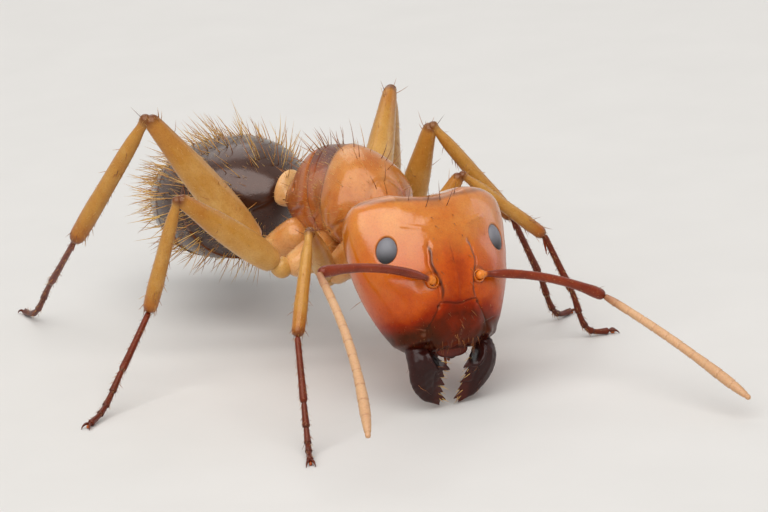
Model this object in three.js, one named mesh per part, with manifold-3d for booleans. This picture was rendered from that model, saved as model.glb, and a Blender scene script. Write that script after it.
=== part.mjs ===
// Carpenter ant, major worker, life size, standing in mid step.
//
// Frame: millimetres, +Z up, the ant faces -Y, its left side is +X.
// The floor is Z = 0 and the origin is the centre of the bounding box's foot.
// Every named piece is one closed shell; pieces that meet keep a thin clear cut.

import * as THREE from 'three';
import { mergeVertices } from 'three/addons/utils/BufferGeometryUtils.js';
import Module from 'manifold-3d';

const wasm = await Module();
wasm.setup();

// ---------------------------------------------------------------- dimensions

const CUT = 0.04; // clear gap between two neighbouring pieces

// Head capsule, jaws apart.
const HEAD_LENGTH = 3.04;
const HEAD_WIDTH = 3.2;
const FACE_DEPTH = 1.05; // head's middle to the face
const THROAT_DEPTH = 1.0; // head's middle to the underside
const LOBE_RISE = 0.1; // rear corners above the nape's middle
const HEAD_HEIGHT = 2.45; // head's centre above the floor
const HEAD_PITCH = -18; // degrees the crown leans back from upright
const HEAD_ROLL = 5;

const EYE_SIZE = { across: 0.46, along: 0.62, deep: 0.36 };
const EYE_PLACE = { out: 1.12, up: 0.43, front: 0.5 };
const EYE_TURN = 40; // degrees the eye looks out to the side
const SOCKET_PLACE = { out: 0.49, up: -0.2, front: 1.0 };

const JAW_LENGTH = 1.2;
const JAW_WIDTH = 0.68;
const JAW_THICKNESS = 0.54;
const JAW_TEETH = 4;

// Antennae: elbowed, one long first joint and a whip of short ones.
const SCAPE_LENGTH = 2.7;
const WHIP_LENGTH = 4.1;
const FEELER_RADIUS = 0.25;
const FEELER_BOW = 0.16;

// Trunk, waist and gaster.
const TRUNK_LENGTH = 3.75;
const TRUNK_WIDTH = 1.86;
const TRUNK_YAW = 4;
const TRUNK_PITCH = -3;
const NECK_JOINT = new THREE.Vector3(0, 1.07, 1.0); // from the head's centre
const WAIST_LENGTH = 0.66;
const WAIST_WIDTH = 0.76;
const WAIST_HEIGHT = 0.86;
const WAIST_PLACE = { back: 3.72, up: -0.35 }; // in the trunk's frame
const GASTER_LENGTH = 4.3;
const GASTER_WIDTH = 3.06;
const GASTER_HEIGHT = 2.52;
const GASTER_PITCH = -8;
const GASTER_YAW = 5;
const GASTER_RINGS = [0.36, 0.6, 0.79, 0.91]; // ends of rings 1 to 4, part of the length

// Legs: lengths of coxa, trochanter with femur, tibia and tarsus for each pair.
const LEG_PAIRS = {
  front: { coxa: 1.15, femur: 2.6, tibia: 2.25, tarsus: 2.65, hip: [0.42, 0.75, -0.75] },
  middle: { coxa: 0.95, femur: 2.95, tibia: 2.6, tarsus: 3.1, hip: [0.5, 1.95, -0.95] },
  hind: { coxa: 0.95, femur: 3.8, tibia: 3.5, tarsus: 4.1, hip: [0.5, 2.95, -0.85] },
};
const TROCHANTER_LENGTH = 0.4;
const COXA_RADIUS = 0.3;
const FEMUR_RADIUS = 0.29;
const LIMB_RADIUS = 0.25;
const JOINT_OVERLAP = 0.14; // how far a joint reaches into the one above it
const FOOT_AXIS_HEIGHT = 0.18; // of the foot's round end, so that it stands on a flat

// Pose: azimuth from straight ahead towards the leg's own side, and elevation,
// in degrees, for coxa, femur and tibia; the tarsus then reaches the floor.
const LEG_POSES = {
  front_right: { coxa: [150, -42], femur: [35, 38], tibia: [41, -45], tarsus: 25 },
  middle_right: { coxa: [110, -25], femur: [88, 41], tibia: [155, -69], tarsus: 57 },
  hind_right: { coxa: [139, -30], femur: [100, 56], tibia: [153, -53], tarsus: 182 },
  front_left: { coxa: [180, -70], femur: [58, 57], tibia: [78, -43], tarsus: 80 },
  middle_left: { coxa: [110, -35], femur: [20, 69], tibia: [71, -55], tarsus: 113 },
  hind_left: { coxa: [120, -30], femur: [139, 35], tibia: [154, -49], tarsus: 150 },
};
const ANTENNA_POSES = {
  right: { scape: [84, 16], whip: [16, -30] },
  left: { scape: [85, -20], whip: [10, -17] },
};

const finish = (color, roughness) => () =>
  new THREE.MeshStandardMaterial({ color, roughness, metalness: 0 });
const HEAD_SHELL = finish(0xc2551c, 0.3);
const TRUNK_SHELL = finish(0xc7701f, 0.32);
const LEG_SHELL = finish(0xc98a2c, 0.35);
const FOOT_SHELL = finish(0x7a3014, 0.45);
const FEELER_SHELL = finish(0x7d2f1a, 0.4);
const JAW_SHELL = finish(0x1e0d0a, 0.25);
const GASTER_SHELL = finish(0x1c100c, 0.25);
const EYE_LENS = finish(0x2b2c30, 0.4);

// ------------------------------------------------------------------- helpers

const { degToRad } = THREE.MathUtils;
const UP = new THREE.Vector3(0, 0, 1);

/** Smooth curve through [place, value] pairs. */
function curveThrough(pairs) {
  const places = pairs.map(([place]) => place);
  const values = pairs.map(([, value]) => value);
  const curve = new THREE.CubicInterpolant(places, values, 1);
  return (place) => curve.evaluate(place)[0];
}

/** How full a rounded solid is at u, from -1 to 1; a high power is a blunt end. */
const fullness = (u, power) => Math.pow(Math.max(0, 1 - Math.abs(u) ** power), 1 / power);

/** Cosine and sine bent towards a rounded square as the power passes 2. */
function squircle(turn, power) {
  const angle = turn * Math.PI * 2;
  const bend = (v) => Math.sign(v) * Math.abs(v) ** (2 / power);
  return [bend(Math.cos(angle)), bend(Math.sin(angle))];
}

/** Closed surface of rings between two poles; pointAt(s, turn) gives its points. */
function closedSurface(ringCount, sides, pointAt) {
  const points = [pointAt(0, 0)];
  for (let ring = 1; ring <= ringCount; ring += 1) {
    for (let side = 0; side < sides; side += 1) {
      points.push(pointAt(ring / (ringCount + 1), side / sides));
    }
  }
  points.push(pointAt(1, 0));
  const at = (ring, side) => 1 + (ring - 1) * sides + (side % sides);
  const last = points.length - 1;
  const faces = [];
  for (let side = 0; side < sides; side += 1) {
    faces.push(0, at(1, side + 1), at(1, side));
    for (let ring = 1; ring < ringCount; ring += 1) {
      faces.push(at(ring, side), at(ring, side + 1), at(ring + 1, side + 1));
      faces.push(at(ring, side), at(ring + 1, side + 1), at(ring + 1, side));
    }
    faces.push(last, at(ringCount, side), at(ringCount, side + 1));
  }
  const geometry = new THREE.BufferGeometry().setFromPoints(points);
  geometry.setIndex(faces);
  return geometry;
}

/** Limb along +Z with round ends: radiusAt(part of length) and a sideways bow. */
function limb(length, radiusAt, { start = 0, rings = 6, sides = 8, bow = 0 } = {}) {
  const span = length - start;
  return closedSurface(rings, sides, (s, turn) => {
    const u = -Math.cos(Math.PI * s);
    const part = (u + 1) / 2;
    const full = radiusAt(part);
    const inset = Math.max(0, 1 - (span * Math.min(part, 1 - part)) / full);
    const radius = full * Math.sqrt(1 - inset * inset);
    const angle = turn * Math.PI * 2;
    const arch = bow * (1 - u * u);
    return new THREE.Vector3(
      radius * Math.cos(angle),
      radius * Math.sin(angle) + arch,
      start + span * part,
    );
  });
}

/** Unit vector for an azimuth and elevation on the right or left side. */
function heading(side, [azimuth, elevation]) {
  const out = degToRad(azimuth);
  const rise = degToRad(elevation);
  return new THREE.Vector3(
    side * Math.sin(out) * Math.cos(rise),
    -Math.cos(out) * Math.cos(rise),
    Math.sin(rise),
  );
}

/** The mesh's geometry as a solid in the world, its surface pushed out by `grow`. */
function toSolid(mesh, grow = 0) {
  let geometry = mesh.geometry.clone();
  geometry.deleteAttribute('normal');
  geometry.deleteAttribute('uv');
  geometry = mergeVertices(geometry, 1e-5);
  mesh.updateWorldMatrix(true, false);
  geometry.applyMatrix4(mesh.matrixWorld);
  const vertProperties = geometry.attributes.position.array;
  if (grow > 0) {
    geometry.computeVertexNormals();
    const normals = geometry.attributes.normal.array;
    for (let i = 0; i < vertProperties.length; i += 1) {
      vertProperties[i] += normals[i] * grow;
    }
  }
  const triVerts = new Uint32Array(geometry.index.array);
  return new wasm.Manifold(new wasm.Mesh({ numProp: 3, vertProperties, triVerts }));
}

/** Gives the mesh a solid's surface, brought from the world to the mesh's frame. */
function setSolid(mesh, solid) {
  const { vertProperties, triVerts } = solid.getMesh();
  const geometry = new THREE.BufferGeometry();
  geometry.setAttribute('position', new THREE.BufferAttribute(vertProperties, 3));
  geometry.setIndex(new THREE.BufferAttribute(triVerts, 1));
  mesh.updateWorldMatrix(true, false);
  geometry.applyMatrix4(mesh.matrixWorld.clone().invert());
  mesh.geometry = geometry;
}

/** Cuts room out of a mesh for its neighbours, with the clear gap around them. */
function makeRoom(mesh, ...neighbours) {
  let solid = toSolid(mesh);
  for (const neighbour of neighbours) {
    solid = solid.subtract(toSolid(neighbour, CUT));
  }
  setSolid(mesh, solid);
}

/** Cuts a mesh off at the floor, which leaves it a flat to stand on. */
function standOnFloor(mesh) {
  const ground = new THREE.Mesh(new THREE.BoxGeometry(60, 60, 2));
  ground.position.z = -1;
  setSolid(mesh, toSolid(mesh).subtract(toSolid(ground)));
}

/** Parts a whole mesh into slices between planes across the group's Y axis. */
function sliceAlongY(group, whole, names, cuts, lean, material) {
  const far = 20;
  const edges = [-far, ...cuts, far];
  const wholeSolid = toSolid(whole);
  return names.map((name, i) => {
    const low = edges[i] + (i > 0 ? CUT / 2 : 0);
    const high = edges[i + 1] - (i < cuts.length ? CUT / 2 : 0);
    const slab = addMesh(group, name, new THREE.BoxGeometry(far, high - low, far), material);
    const middle = new THREE.Matrix4().makeTranslation(0, (low + high) / 2, 0);
    slab.geometry.applyMatrix4(middle);
    slab.geometry.applyMatrix4(new THREE.Matrix4().makeShear(0, 0, 0, 0, 0, lean));
    const slice = wholeSolid.intersect(toSolid(slab));
    setSolid(slab, slice);
    return slab;
  });
}

function addMesh(group, name, geometry, material) {
  const mesh = new THREE.Mesh(geometry, material());
  mesh.name = name;
  group.add(mesh);
  return mesh;
}

// ---------------------------------------------------------------------- head

/** Head capsule: Z runs from the mouth up to the crown and -Y is the face. */
function headGeometry() {
  const cheek = curveThrough([[-1, 0.58], [-0.8, 0.69], [-0.5, 0.82], [-0.25, 0.91],
    [0.07, 0.99], [0.35, 1.02], [0.75, 1.03], [1, 1]]);
  const face = curveThrough([[-1, 0.66], [-0.6, 0.88], [-0.15, 1], [0.35, 0.88], [0.8, 0.7],
    [1, 0.56]]);
  const throat = curveThrough([[-1, 0.3], [-0.6, 0.66], [0, 0.95], [0.5, 1], [1, 0.7]]);
  return closedSurface(13, 24, (s, turn) => {
    const u = -Math.cos(Math.PI * s);
    const round = fullness(u, u < 0 ? 9 : 6);
    const bend = 2.3 - 0.45 * THREE.MathUtils.smoothstep(u, -0.6, 0.3); // brow slopes most
    const [across, front] = squircle(turn, turn < 0.5 ? bend : 2.3);
    const x = -(HEAD_WIDTH / 2) * cheek(u) * round * across;
    const depth = front > 0 ? FACE_DEPTH * face(u) : THROAT_DEPTH * throat(u);
    const middle = u < 0 ? -0.18 * u * u : 0; // the mouth sits towards the face
    const y = middle - depth * front * round - middle * Math.abs(front) * round;
    const notch = THREE.MathUtils.smoothstep(u, 0.3, 1) * Math.max(0, 1 - (x / 0.75) ** 2);
    return new THREE.Vector3(x, y, (HEAD_LENGTH / 2) * u - LOBE_RISE * notch);
  });
}

/** Jaw of one side: a curved blade from the cheek to the tip, toothed within. */
function jawGeometry(side) {
  const spine = new THREE.CubicBezierCurve3(
    new THREE.Vector3(side * 0.6, -0.26, -1.36),
    new THREE.Vector3(side * 0.68, -0.42, -1.75),
    new THREE.Vector3(side * 0.58, -0.3, -2.2),
    new THREE.Vector3(side * 0.18, -0.05, -1.33 - JAW_LENGTH),
  );
  const width = curveThrough([[0, 0.85], [0.35, 1], [0.7, 0.82], [1, 0.4]]);
  return closedSurface(18, 8, (s, turn) => {
    const u = -Math.cos(Math.PI * s);
    const part = (u + 1) / 2;
    const centre = spine.getPoint(part);
    const [inward, front] = squircle(turn, 2);
    const wave = Math.max(0, Math.sin((part - 0.3) * Math.PI * 2 * JAW_TEETH / 0.75));
    const tooth = inward > 0 && part > 0.3 ? 0.16 * wave : 0;
    const round = fullness(u, 5);
    const half = (JAW_WIDTH / 2) * width(part) * round * (1 + tooth);
    const thick = (JAW_THICKNESS / 2) * (1 - 0.55 * part) * round;
    return new THREE.Vector3(
      centre.x - side * half * inward,
      centre.y + side * thick * front,
      centre.z,
    );
  });
}

function buildHead(root) {
  const group = new THREE.Group();
  group.position.set(0, 0, HEAD_HEIGHT);
  group.rotation.order = 'ZXY';
  group.rotation.set(degToRad(HEAD_PITCH), degToRad(HEAD_ROLL), 0);
  root.add(group);

  const head = addMesh(group, 'head', headGeometry(), HEAD_SHELL);
  const wholeHead = head.clone();
  group.add(wholeHead);

  for (const [name, side] of [['right', -1], ['left', 1]]) {
    const eye = new THREE.SphereGeometry(0.5, 12, 8);
    eye.scale(EYE_SIZE.across, EYE_SIZE.deep, EYE_SIZE.along);
    const eyeMesh = addMesh(group, `eye_${name}`, eye, EYE_LENS);
    eyeMesh.position.set(side * EYE_PLACE.out, -EYE_PLACE.front, EYE_PLACE.up);
    eyeMesh.rotation.z = degToRad(side * EYE_TURN);
    makeRoom(head, eyeMesh);

    const jaw = addMesh(group, `mandible_${name}`, jawGeometry(side), JAW_SHELL);
    makeRoom(jaw, wholeHead);
  }

  const lips = new THREE.SphereGeometry(1, 12, 8);
  lips.scale(0.25, 0.26, 0.3);
  const mouth = addMesh(group, 'mouthparts', lips, FOOT_SHELL);
  mouth.position.set(0, -0.16, -1.5);
  makeRoom(mouth, wholeHead);

  group.remove(wholeHead);
  return { group, head, wholeHead };
}

function buildAntenna(root, headGroup, wholeHead, name, side) {
  const pose = ANTENNA_POSES[name];
  headGroup.updateWorldMatrix(true, false);
  const socket = new THREE.Vector3(side * SOCKET_PLACE.out, -SOCKET_PLACE.front - 0.12,
    SOCKET_PLACE.up);
  headGroup.localToWorld(socket);

  const thick = () => FEELER_RADIUS;
  const scapeGeometry = limb(SCAPE_LENGTH, thick, { rings: 8, bow: FEELER_BOW });
  const scape = addMesh(root, `scape_${name}`, scapeGeometry, FEELER_SHELL);
  scape.position.copy(socket);
  aim(scape, heading(side, pose.scape));

  const elbow = socket.clone().addScaledVector(heading(side, pose.scape), SCAPE_LENGTH);
  const whipGeometry = limb(WHIP_LENGTH, thick, { start: -JOINT_OVERLAP, rings: 10 });
  const whip = addMesh(root, `funiculus_${name}`, whipGeometry, FEELER_SHELL);
  whip.position.copy(elbow);
  aim(whip, heading(side, pose.whip));

  makeRoom(whip, scape);
  makeRoom(scape, wholeHead);
}

/** Turns a limb's +Z to a direction, its +Y staying as near to straight up as can be. */
function aim(mesh, direction) {
  const across = new THREE.Vector3().crossVectors(UP, direction).normalize();
  const above = new THREE.Vector3().crossVectors(direction, across);
  mesh.quaternion.setFromRotationMatrix(new THREE.Matrix4().makeBasis(across, above, direction));
}

// --------------------------------------------------------------------- trunk

/** Trunk whole: the neck is at the group's origin and Y runs back to the waist. */
function trunkGeometry() {
  const crest = curveThrough([[0, 0.1], [0.1, 0.34], [0.24, 0.82], [0.45, 1.0], [0.62, 0.92],
    [0.8, 0.66], [0.93, 0.22], [1, -0.05]]);
  const keel = curveThrough([[0, -0.12], [0.12, -0.45], [0.3, -0.88], [0.6, -1.05], [0.85, -1.0],
    [1, -0.6]]);
  const side = curveThrough([[0, 0.26], [0.1, 0.44], [0.25, 0.98], [0.36, 0.96], [0.5, 0.74],
    [0.75, 0.66], [0.92, 0.5], [1, 0.36]]);
  return closedSurface(16, 20, (s, turn) => {
    const u = -Math.cos(Math.PI * s);
    const part = (u + 1) / 2;
    const [across, rise] = squircle(turn, 2.1);
    const round = fullness(u, 8);
    const top = crest(part);
    const bottom = keel(part);
    const middle = (top + bottom) / 2;
    const lift = ((top - bottom) / 2) * rise * round;
    const narrow = 1 - 0.22 * Math.max(0, rise); // sides close in towards the back
    const x = (TRUNK_WIDTH / 2) * side(part) * across * narrow * round;
    return new THREE.Vector3(-x, TRUNK_LENGTH * part, middle + lift);
  });
}

function buildTrunk(root) {
  const group = new THREE.Group();
  group.position.set(0, 0, HEAD_HEIGHT).add(NECK_JOINT);
  group.rotation.order = 'ZXY';
  group.rotation.set(degToRad(TRUNK_PITCH), 0, degToRad(TRUNK_YAW));
  root.add(group);

  const whole = addMesh(group, 'trunk', trunkGeometry(), TRUNK_SHELL);
  group.remove(whole);
  const stand = new THREE.Group();
  stand.add(whole);
  root.add(stand);
  stand.position.copy(group.position);
  stand.rotation.copy(group.rotation);
  const names = ['prothorax', 'mesothorax', 'propodeum'];
  sliceAlongY(group, whole, names, [1.42, 2.3], 0.25, TRUNK_SHELL);
  root.remove(stand);
  return { group, whole };
}

/** Waist scale: a low stalk with an upright rounded scale on it. */
function waistGeometry() {
  const crest = curveThrough([[0, 0.1], [0.25, 0.34], [0.5, 0.98], [0.68, 0.6], [1, 0.08]]);
  const side = curveThrough([[0, 0.5], [0.3, 0.7], [0.55, 1], [0.75, 0.75], [1, 0.45]]);
  return closedSurface(8, 12, (s, turn) => {
    const u = -Math.cos(Math.PI * s);
    const part = (u + 1) / 2;
    const [across, rise] = squircle(turn, 2);
    const round = fullness(u, 5);
    const high = rise > 0 ? WAIST_HEIGHT * 0.62 * crest(part) : WAIST_HEIGHT * 0.26;
    return new THREE.Vector3(
      -(WAIST_WIDTH / 2) * side(part) * across * round,
      WAIST_LENGTH * part,
      high * rise * round,
    );
  });
}

/** Gaster whole: an egg with its blunt end forward, along +Y. */
function gasterGeometry() {
  const swell = curveThrough([[0, 0.66], [0.15, 0.9], [0.4, 1], [0.65, 0.9], [0.85, 0.66],
    [1, 0.42]]);
  return closedSurface(14, 20, (s, turn) => {
    const u = -Math.cos(Math.PI * s);
    const part = (u + 1) / 2;
    const angle = turn * Math.PI * 2;
    const size = swell(part) * fullness(u, 2.3);
    return new THREE.Vector3(
      -(GASTER_WIDTH / 2) * size * Math.cos(angle),
      GASTER_LENGTH * part,
      (GASTER_HEIGHT / 2) * size * Math.sin(angle) - 0.1 * Math.sin(Math.PI * part),
    );
  });
}

function buildRear(root, trunk) {
  const waist = addMesh(trunk.group, 'petiole', waistGeometry(), TRUNK_SHELL);
  waist.position.set(0, WAIST_PLACE.back - 0.06, WAIST_PLACE.up);

  const group = new THREE.Group();
  group.position.set(0, WAIST_PLACE.back + WAIST_LENGTH - 0.12, WAIST_PLACE.up + 0.02);
  group.rotation.order = 'ZXY';
  group.rotation.set(degToRad(GASTER_PITCH), 0, degToRad(GASTER_YAW));
  trunk.group.add(group);
  const whole = addMesh(group, 'gaster', gasterGeometry(), GASTER_SHELL);
  makeRoom(waist, trunk.whole, whole);

  const names = ['gaster_1', 'gaster_2', 'gaster_3', 'gaster_4', 'gaster_tip'];
  const cuts = GASTER_RINGS.map((part) => part * GASTER_LENGTH);
  sliceAlongY(group, whole, names, cuts, 0, GASTER_SHELL);
  group.remove(whole);
}

// ---------------------------------------------------------------------- legs

function buildLeg(root, trunk, name) {
  const [pairName, sideName] = name.split('_');
  const sizes = LEG_PAIRS[pairName];
  const pose = LEG_POSES[name];
  const side = sideName === 'right' ? -1 : 1;

  const hip = new THREE.Vector3(side * sizes.hip[0], sizes.hip[1], sizes.hip[2]);
  trunk.group.updateWorldMatrix(true, false);
  trunk.group.localToWorld(hip);

  const femurWay = heading(side, pose.femur);
  const hub = hip.clone().addScaledVector(heading(side, pose.coxa), sizes.coxa);
  const knee = hub.clone().addScaledVector(femurWay, sizes.femur);
  const ankle = knee.clone().addScaledVector(heading(side, pose.tibia), sizes.tibia);
  const reach = sizes.tarsus - LIMB_RADIUS;
  const drop = Math.asin((ankle.z - FOOT_AXIS_HEIGHT) / reach);
  const tarsusWay = heading(side, [pose.tarsus, -THREE.MathUtils.radToDeg(drop)]);

  const coxaRadius = curveThrough([[0, 1], [0.35, 1.05], [1, 0.84]]);
  const femurRadius = curveThrough([[0, 0.86], [0.35, 1], [1, 0.87]]);
  const piece = (part, geometry, at, way, material) => {
    const mesh = addMesh(root, `${part}_${name}`, geometry, material);
    mesh.position.copy(at);
    aim(mesh, way);
    return mesh;
  };

  const start = -JOINT_OVERLAP;
  const coxa = piece('coxa', limb(sizes.coxa, (p) => COXA_RADIUS * coxaRadius(p), { rings: 6 }),
    hip, heading(side, pose.coxa), TRUNK_SHELL);
  const hubGeometry = limb(TROCHANTER_LENGTH, () => LIMB_RADIUS, { start, rings: 5 });
  const trochanter = piece('trochanter', hubGeometry, hub, femurWay, LEG_SHELL);
  const thighLength = sizes.femur - TROCHANTER_LENGTH;
  const thighGeometry = limb(thighLength, (p) => FEMUR_RADIUS * femurRadius(p),
    { start, rings: 7 });
  const thighStart = hub.clone().addScaledVector(femurWay, TROCHANTER_LENGTH);
  const femur = piece('femur', thighGeometry, thighStart, femurWay, LEG_SHELL);
  const shin = limb(sizes.tibia, () => LIMB_RADIUS, { start, rings: 6 });
  const tibia = piece('tibia', shin, knee, heading(side, pose.tibia), LEG_SHELL);
  const foot = limb(sizes.tarsus, () => LIMB_RADIUS, { start, rings: 6 });
  const tarsus = piece('tarsus', foot, ankle, tarsusWay, FOOT_SHELL);

  makeRoom(tarsus, tibia);
  standOnFloor(tarsus);
  makeRoom(tibia, femur);
  makeRoom(femur, trochanter, coxa);
  makeRoom(trochanter, coxa);
  makeRoom(coxa, trunk.whole);
}

// --------------------------------------------------------------------- whole

const ant = new THREE.Group();
const { group: headGroup, head, wholeHead } = buildHead(ant);
headGroup.add(wholeHead);
buildAntenna(ant, headGroup, wholeHead, 'right', -1);
buildAntenna(ant, headGroup, wholeHead, 'left', 1);
headGroup.remove(wholeHead);

const trunk = buildTrunk(ant);
trunk.group.add(trunk.whole);
makeRoom(head, trunk.whole);
buildRear(ant, trunk);
for (const name of Object.keys(LEG_POSES)) {
  buildLeg(ant, trunk, name);
}
trunk.group.remove(trunk.whole);

// The origin goes to the middle of the bounding box, on the floor.
const box = new THREE.Box3().setFromObject(ant, true);
const centre = box.getCenter(new THREE.Vector3());
ant.position.set(-centre.x, -centre.y, -box.min.z);
const model = new THREE.Group();
model.add(ant);

export default model;
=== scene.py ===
"""Looks of the carpenter ant, a major worker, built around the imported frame.

Lengths are in millimetres in this file and become metres as each mesh is made.
The ant faces -Y, its left side is +X, and the floor is Z = 0. Each part's skin is
a closed surface of rows between two poles. Features are marked on it, which raises
or sinks and darkens it, and the mask "warm" picks its place on the shell's palette.
"""

import math

import bpy
import numpy as np
from mathutils import Matrix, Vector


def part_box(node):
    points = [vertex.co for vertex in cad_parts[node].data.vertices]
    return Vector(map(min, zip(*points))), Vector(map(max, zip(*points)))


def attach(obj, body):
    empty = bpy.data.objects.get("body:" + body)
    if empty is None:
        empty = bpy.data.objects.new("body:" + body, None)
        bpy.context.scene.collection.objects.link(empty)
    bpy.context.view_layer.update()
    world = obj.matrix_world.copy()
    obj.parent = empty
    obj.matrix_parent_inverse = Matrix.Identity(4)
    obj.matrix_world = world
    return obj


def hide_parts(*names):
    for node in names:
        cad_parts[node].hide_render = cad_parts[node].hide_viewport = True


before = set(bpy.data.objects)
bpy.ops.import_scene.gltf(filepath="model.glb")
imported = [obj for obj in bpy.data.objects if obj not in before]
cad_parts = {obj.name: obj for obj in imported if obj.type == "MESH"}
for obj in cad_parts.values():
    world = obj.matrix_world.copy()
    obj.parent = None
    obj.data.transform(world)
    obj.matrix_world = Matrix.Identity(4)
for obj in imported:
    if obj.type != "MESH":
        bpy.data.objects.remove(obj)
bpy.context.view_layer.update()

MM = 0.001
FULL_TURN = 2 * np.pi
RNG = np.random.default_rng(11)
SIDES = {"right": -1, "left": 1}
LEGS = [f"{pair}_{side}" for pair in ("front", "middle", "hind") for side in SIDES]

# Driving dimensions, the same as the solids have.
HEAD_LENGTH, HEAD_WIDTH = 3.04, 3.2
FACE_DEPTH, THROAT_DEPTH, LOBE_RISE = 1.05, 1.0, 0.1
HEAD_PITCH, HEAD_ROLL = -18, 5
EYE_SIZE = np.array([0.46, 0.36, 0.62])
EYE_OUT, EYE_FRONT, EYE_UP, EYE_TURN, EYE_TILT = 1.12, 0.5, 0.43, 40, 9
SOCKET_OUT, SOCKET_FRONT, SOCKET_UP = 0.49, 1.0, -0.2
SCAPE_BOW, WHIP_LENGTH = 0.16, 4.1
NECK_JOINT = (0, 1.07, 1.0)
TRUNK_LENGTH, TRUNK_WIDTH, TRUNK_YAW, TRUNK_PITCH = 3.75, 1.86, 4, -3
WAIST_LENGTH, WAIST_WIDTH, WAIST_HEIGHT = 0.66, 0.76, 0.86
WAIST_BACK, WAIST_UP, WAIST_OVERLAP = 3.72, -0.35, 0.06
GASTER_LENGTH, GASTER_WIDTH, GASTER_HEIGHT = 4.3, 3.06, 2.52
GASTER_PITCH, GASTER_YAW, GASTER_SAG = -8, 5, 0.1
GASTER_RINGS = [0.36, 0.6, 0.79, 0.91]


# ------------------------------------------------------------------ numbers

PROFILE_SAMPLES = 6001
SIDE_ON = 0.3  # a face belongs to a limb's side if its normal is this far off its axis


def curve(*pairs):
    """A smooth function through (place, value) pairs."""
    places, values = np.array(pairs, float).T
    slopes = np.gradient(values, places)

    def at(place):
        place = np.clip(place, places[0], places[-1])
        i = np.clip(np.searchsorted(places, place, side="right") - 1, 0, len(places) - 2)
        gap = places[i + 1] - places[i]
        u = (place - places[i]) / gap
        start = (1 + 2 * u) * (1 - u) ** 2 * values[i] + u * (1 - u) ** 2 * gap * slopes[i]
        end = u**2 * (3 - 2 * u) * values[i + 1] + u**2 * (u - 1) * gap * slopes[i + 1]
        return start + end

    return at


def smooth(low, high, value):
    """0 below low, 1 above high, and an even slope between; low may be the larger."""
    u = np.clip((value - low) / (high - low), 0, 1)
    return u * u * (3 - 2 * u)


def band(value, low, full, still_full, high):
    """0 below low and above high, and 1 from full to still_full."""
    return smooth(low, full, value) * smooth(high, still_full, value)


def hump(value, width):
    """1 at zero, falling away over that width on both sides."""
    return np.exp(-((value / width) ** 2))


def spot(across, along, width):
    """A round hump where both distances are zero."""
    return hump(np.hypot(across, along), width)


def fullness(u, power):
    """How full a rounded solid is at u, from -1 to 1."""
    return np.maximum(0, 1 - np.abs(u) ** power) ** (1 / power)


def dome(u):
    """A quarter circle: how wide a round end is at u, from 0 to 1, and 1 after it."""
    return np.sqrt(np.clip(1 - np.maximum(0, 1 - u) ** 2, 0, 1))


def circle(turn):
    return np.cos(turn * FULL_TURN), np.sin(turn * FULL_TURN)


def squircle(turn, power):
    """Cosine and sine bent towards a rounded square as the power passes 2."""
    return [np.sign(v) * np.abs(v) ** (2 / power) for v in circle(turn)]


def distance_run(points):
    """How far along a line of points each of them is."""
    steps = np.linalg.norm(np.diff(points, axis=0), axis=1)
    return np.concatenate([[0], np.cumsum(steps)])


def evenly(profile, low, high, count):
    """Places from low to high that are the same distance apart along the profile."""
    dense = low + (high - low) * (1 - np.cos(np.linspace(0, np.pi, PROFILE_SAMPLES))) / 2
    run = distance_run(np.stack(profile(dense), axis=-1))
    return np.interp(np.linspace(0, run[-1], count), run, dense)


def arc(start, end, bow=(0, 0, 0)):
    """The path from start to end, t from 0 to 1, that stands off by bow half way."""
    start, end, bow = (np.array(v, float) for v in (start, end, bow))

    def path(t):
        t = np.asarray(t)[..., None]
        return start + (end - start) * t + bow * 4 * t * (1 - t)

    return path


def bent(*knots):
    """A smooth path through knots, t from 0 to 1 by the distance between them."""
    knots = np.array(knots, float)
    run = distance_run(knots)
    curves = [curve(*zip(run / run[-1], knots[:, axis])) for axis in range(3)]
    return lambda t: np.stack([c(t) for c in curves], axis=-1)


def unit(vector):
    vector = np.asarray(vector, float)
    return vector / np.maximum(np.linalg.norm(vector, axis=-1, keepdims=True), 1e-12)


def turned(*turns):
    """Rotation matrix of (axis, degrees) turns, the last one applied first."""
    out = np.eye(3)
    for axis, degrees in turns:
        out = out @ np.array(Matrix.Rotation(math.radians(degrees), 3, axis))
    return out


class Place:
    """A group's frame: a rotation and an origin, in millimetres."""

    def __init__(self, turn, origin):
        self.turn = turn
        self.origin = np.asarray(origin, float)

    def out(self, points):
        return np.asarray(points, float) @ self.turn.T + self.origin

    def back(self, points):
        return (np.asarray(points, float) - self.origin) @ self.turn

    def inside(self, turn, origin):
        return Place(self.turn @ turn, self.out(origin))


def box_centre(node):
    low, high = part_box(node)
    return np.array((low + high) / 2) / MM


HEAD_TURN = turned(("X", HEAD_PITCH), ("Y", HEAD_ROLL))
EYES_MIDDLE = (box_centre("eye_right") + box_centre("eye_left")) / 2
HEAD = Place(HEAD_TURN, EYES_MIDDLE - HEAD_TURN @ np.array([0, -EYE_FRONT, EYE_UP]))
TRUNK = Place(turned(("Z", TRUNK_YAW), ("X", TRUNK_PITCH)), HEAD.origin + NECK_JOINT)
WAIST = TRUNK.inside(np.eye(3), (0, WAIST_BACK - WAIST_OVERLAP, WAIST_UP))
GASTER = TRUNK.inside(
    turned(("Z", GASTER_YAW), ("X", GASTER_PITCH)),
    (0, WAIST_BACK + WAIST_LENGTH - 2 * WAIST_OVERLAP, WAIST_UP + 0.02),
)


def read(items, key, width):
    """A mesh's numbers, in rows of that width."""
    flat = np.empty(len(items) * width, np.float32)
    items.foreach_get(key, flat)
    return flat.reshape(-1, width).astype(float)


def cad_points(node):
    return read(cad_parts[node].data.vertices, "co", 3) / MM


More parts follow.
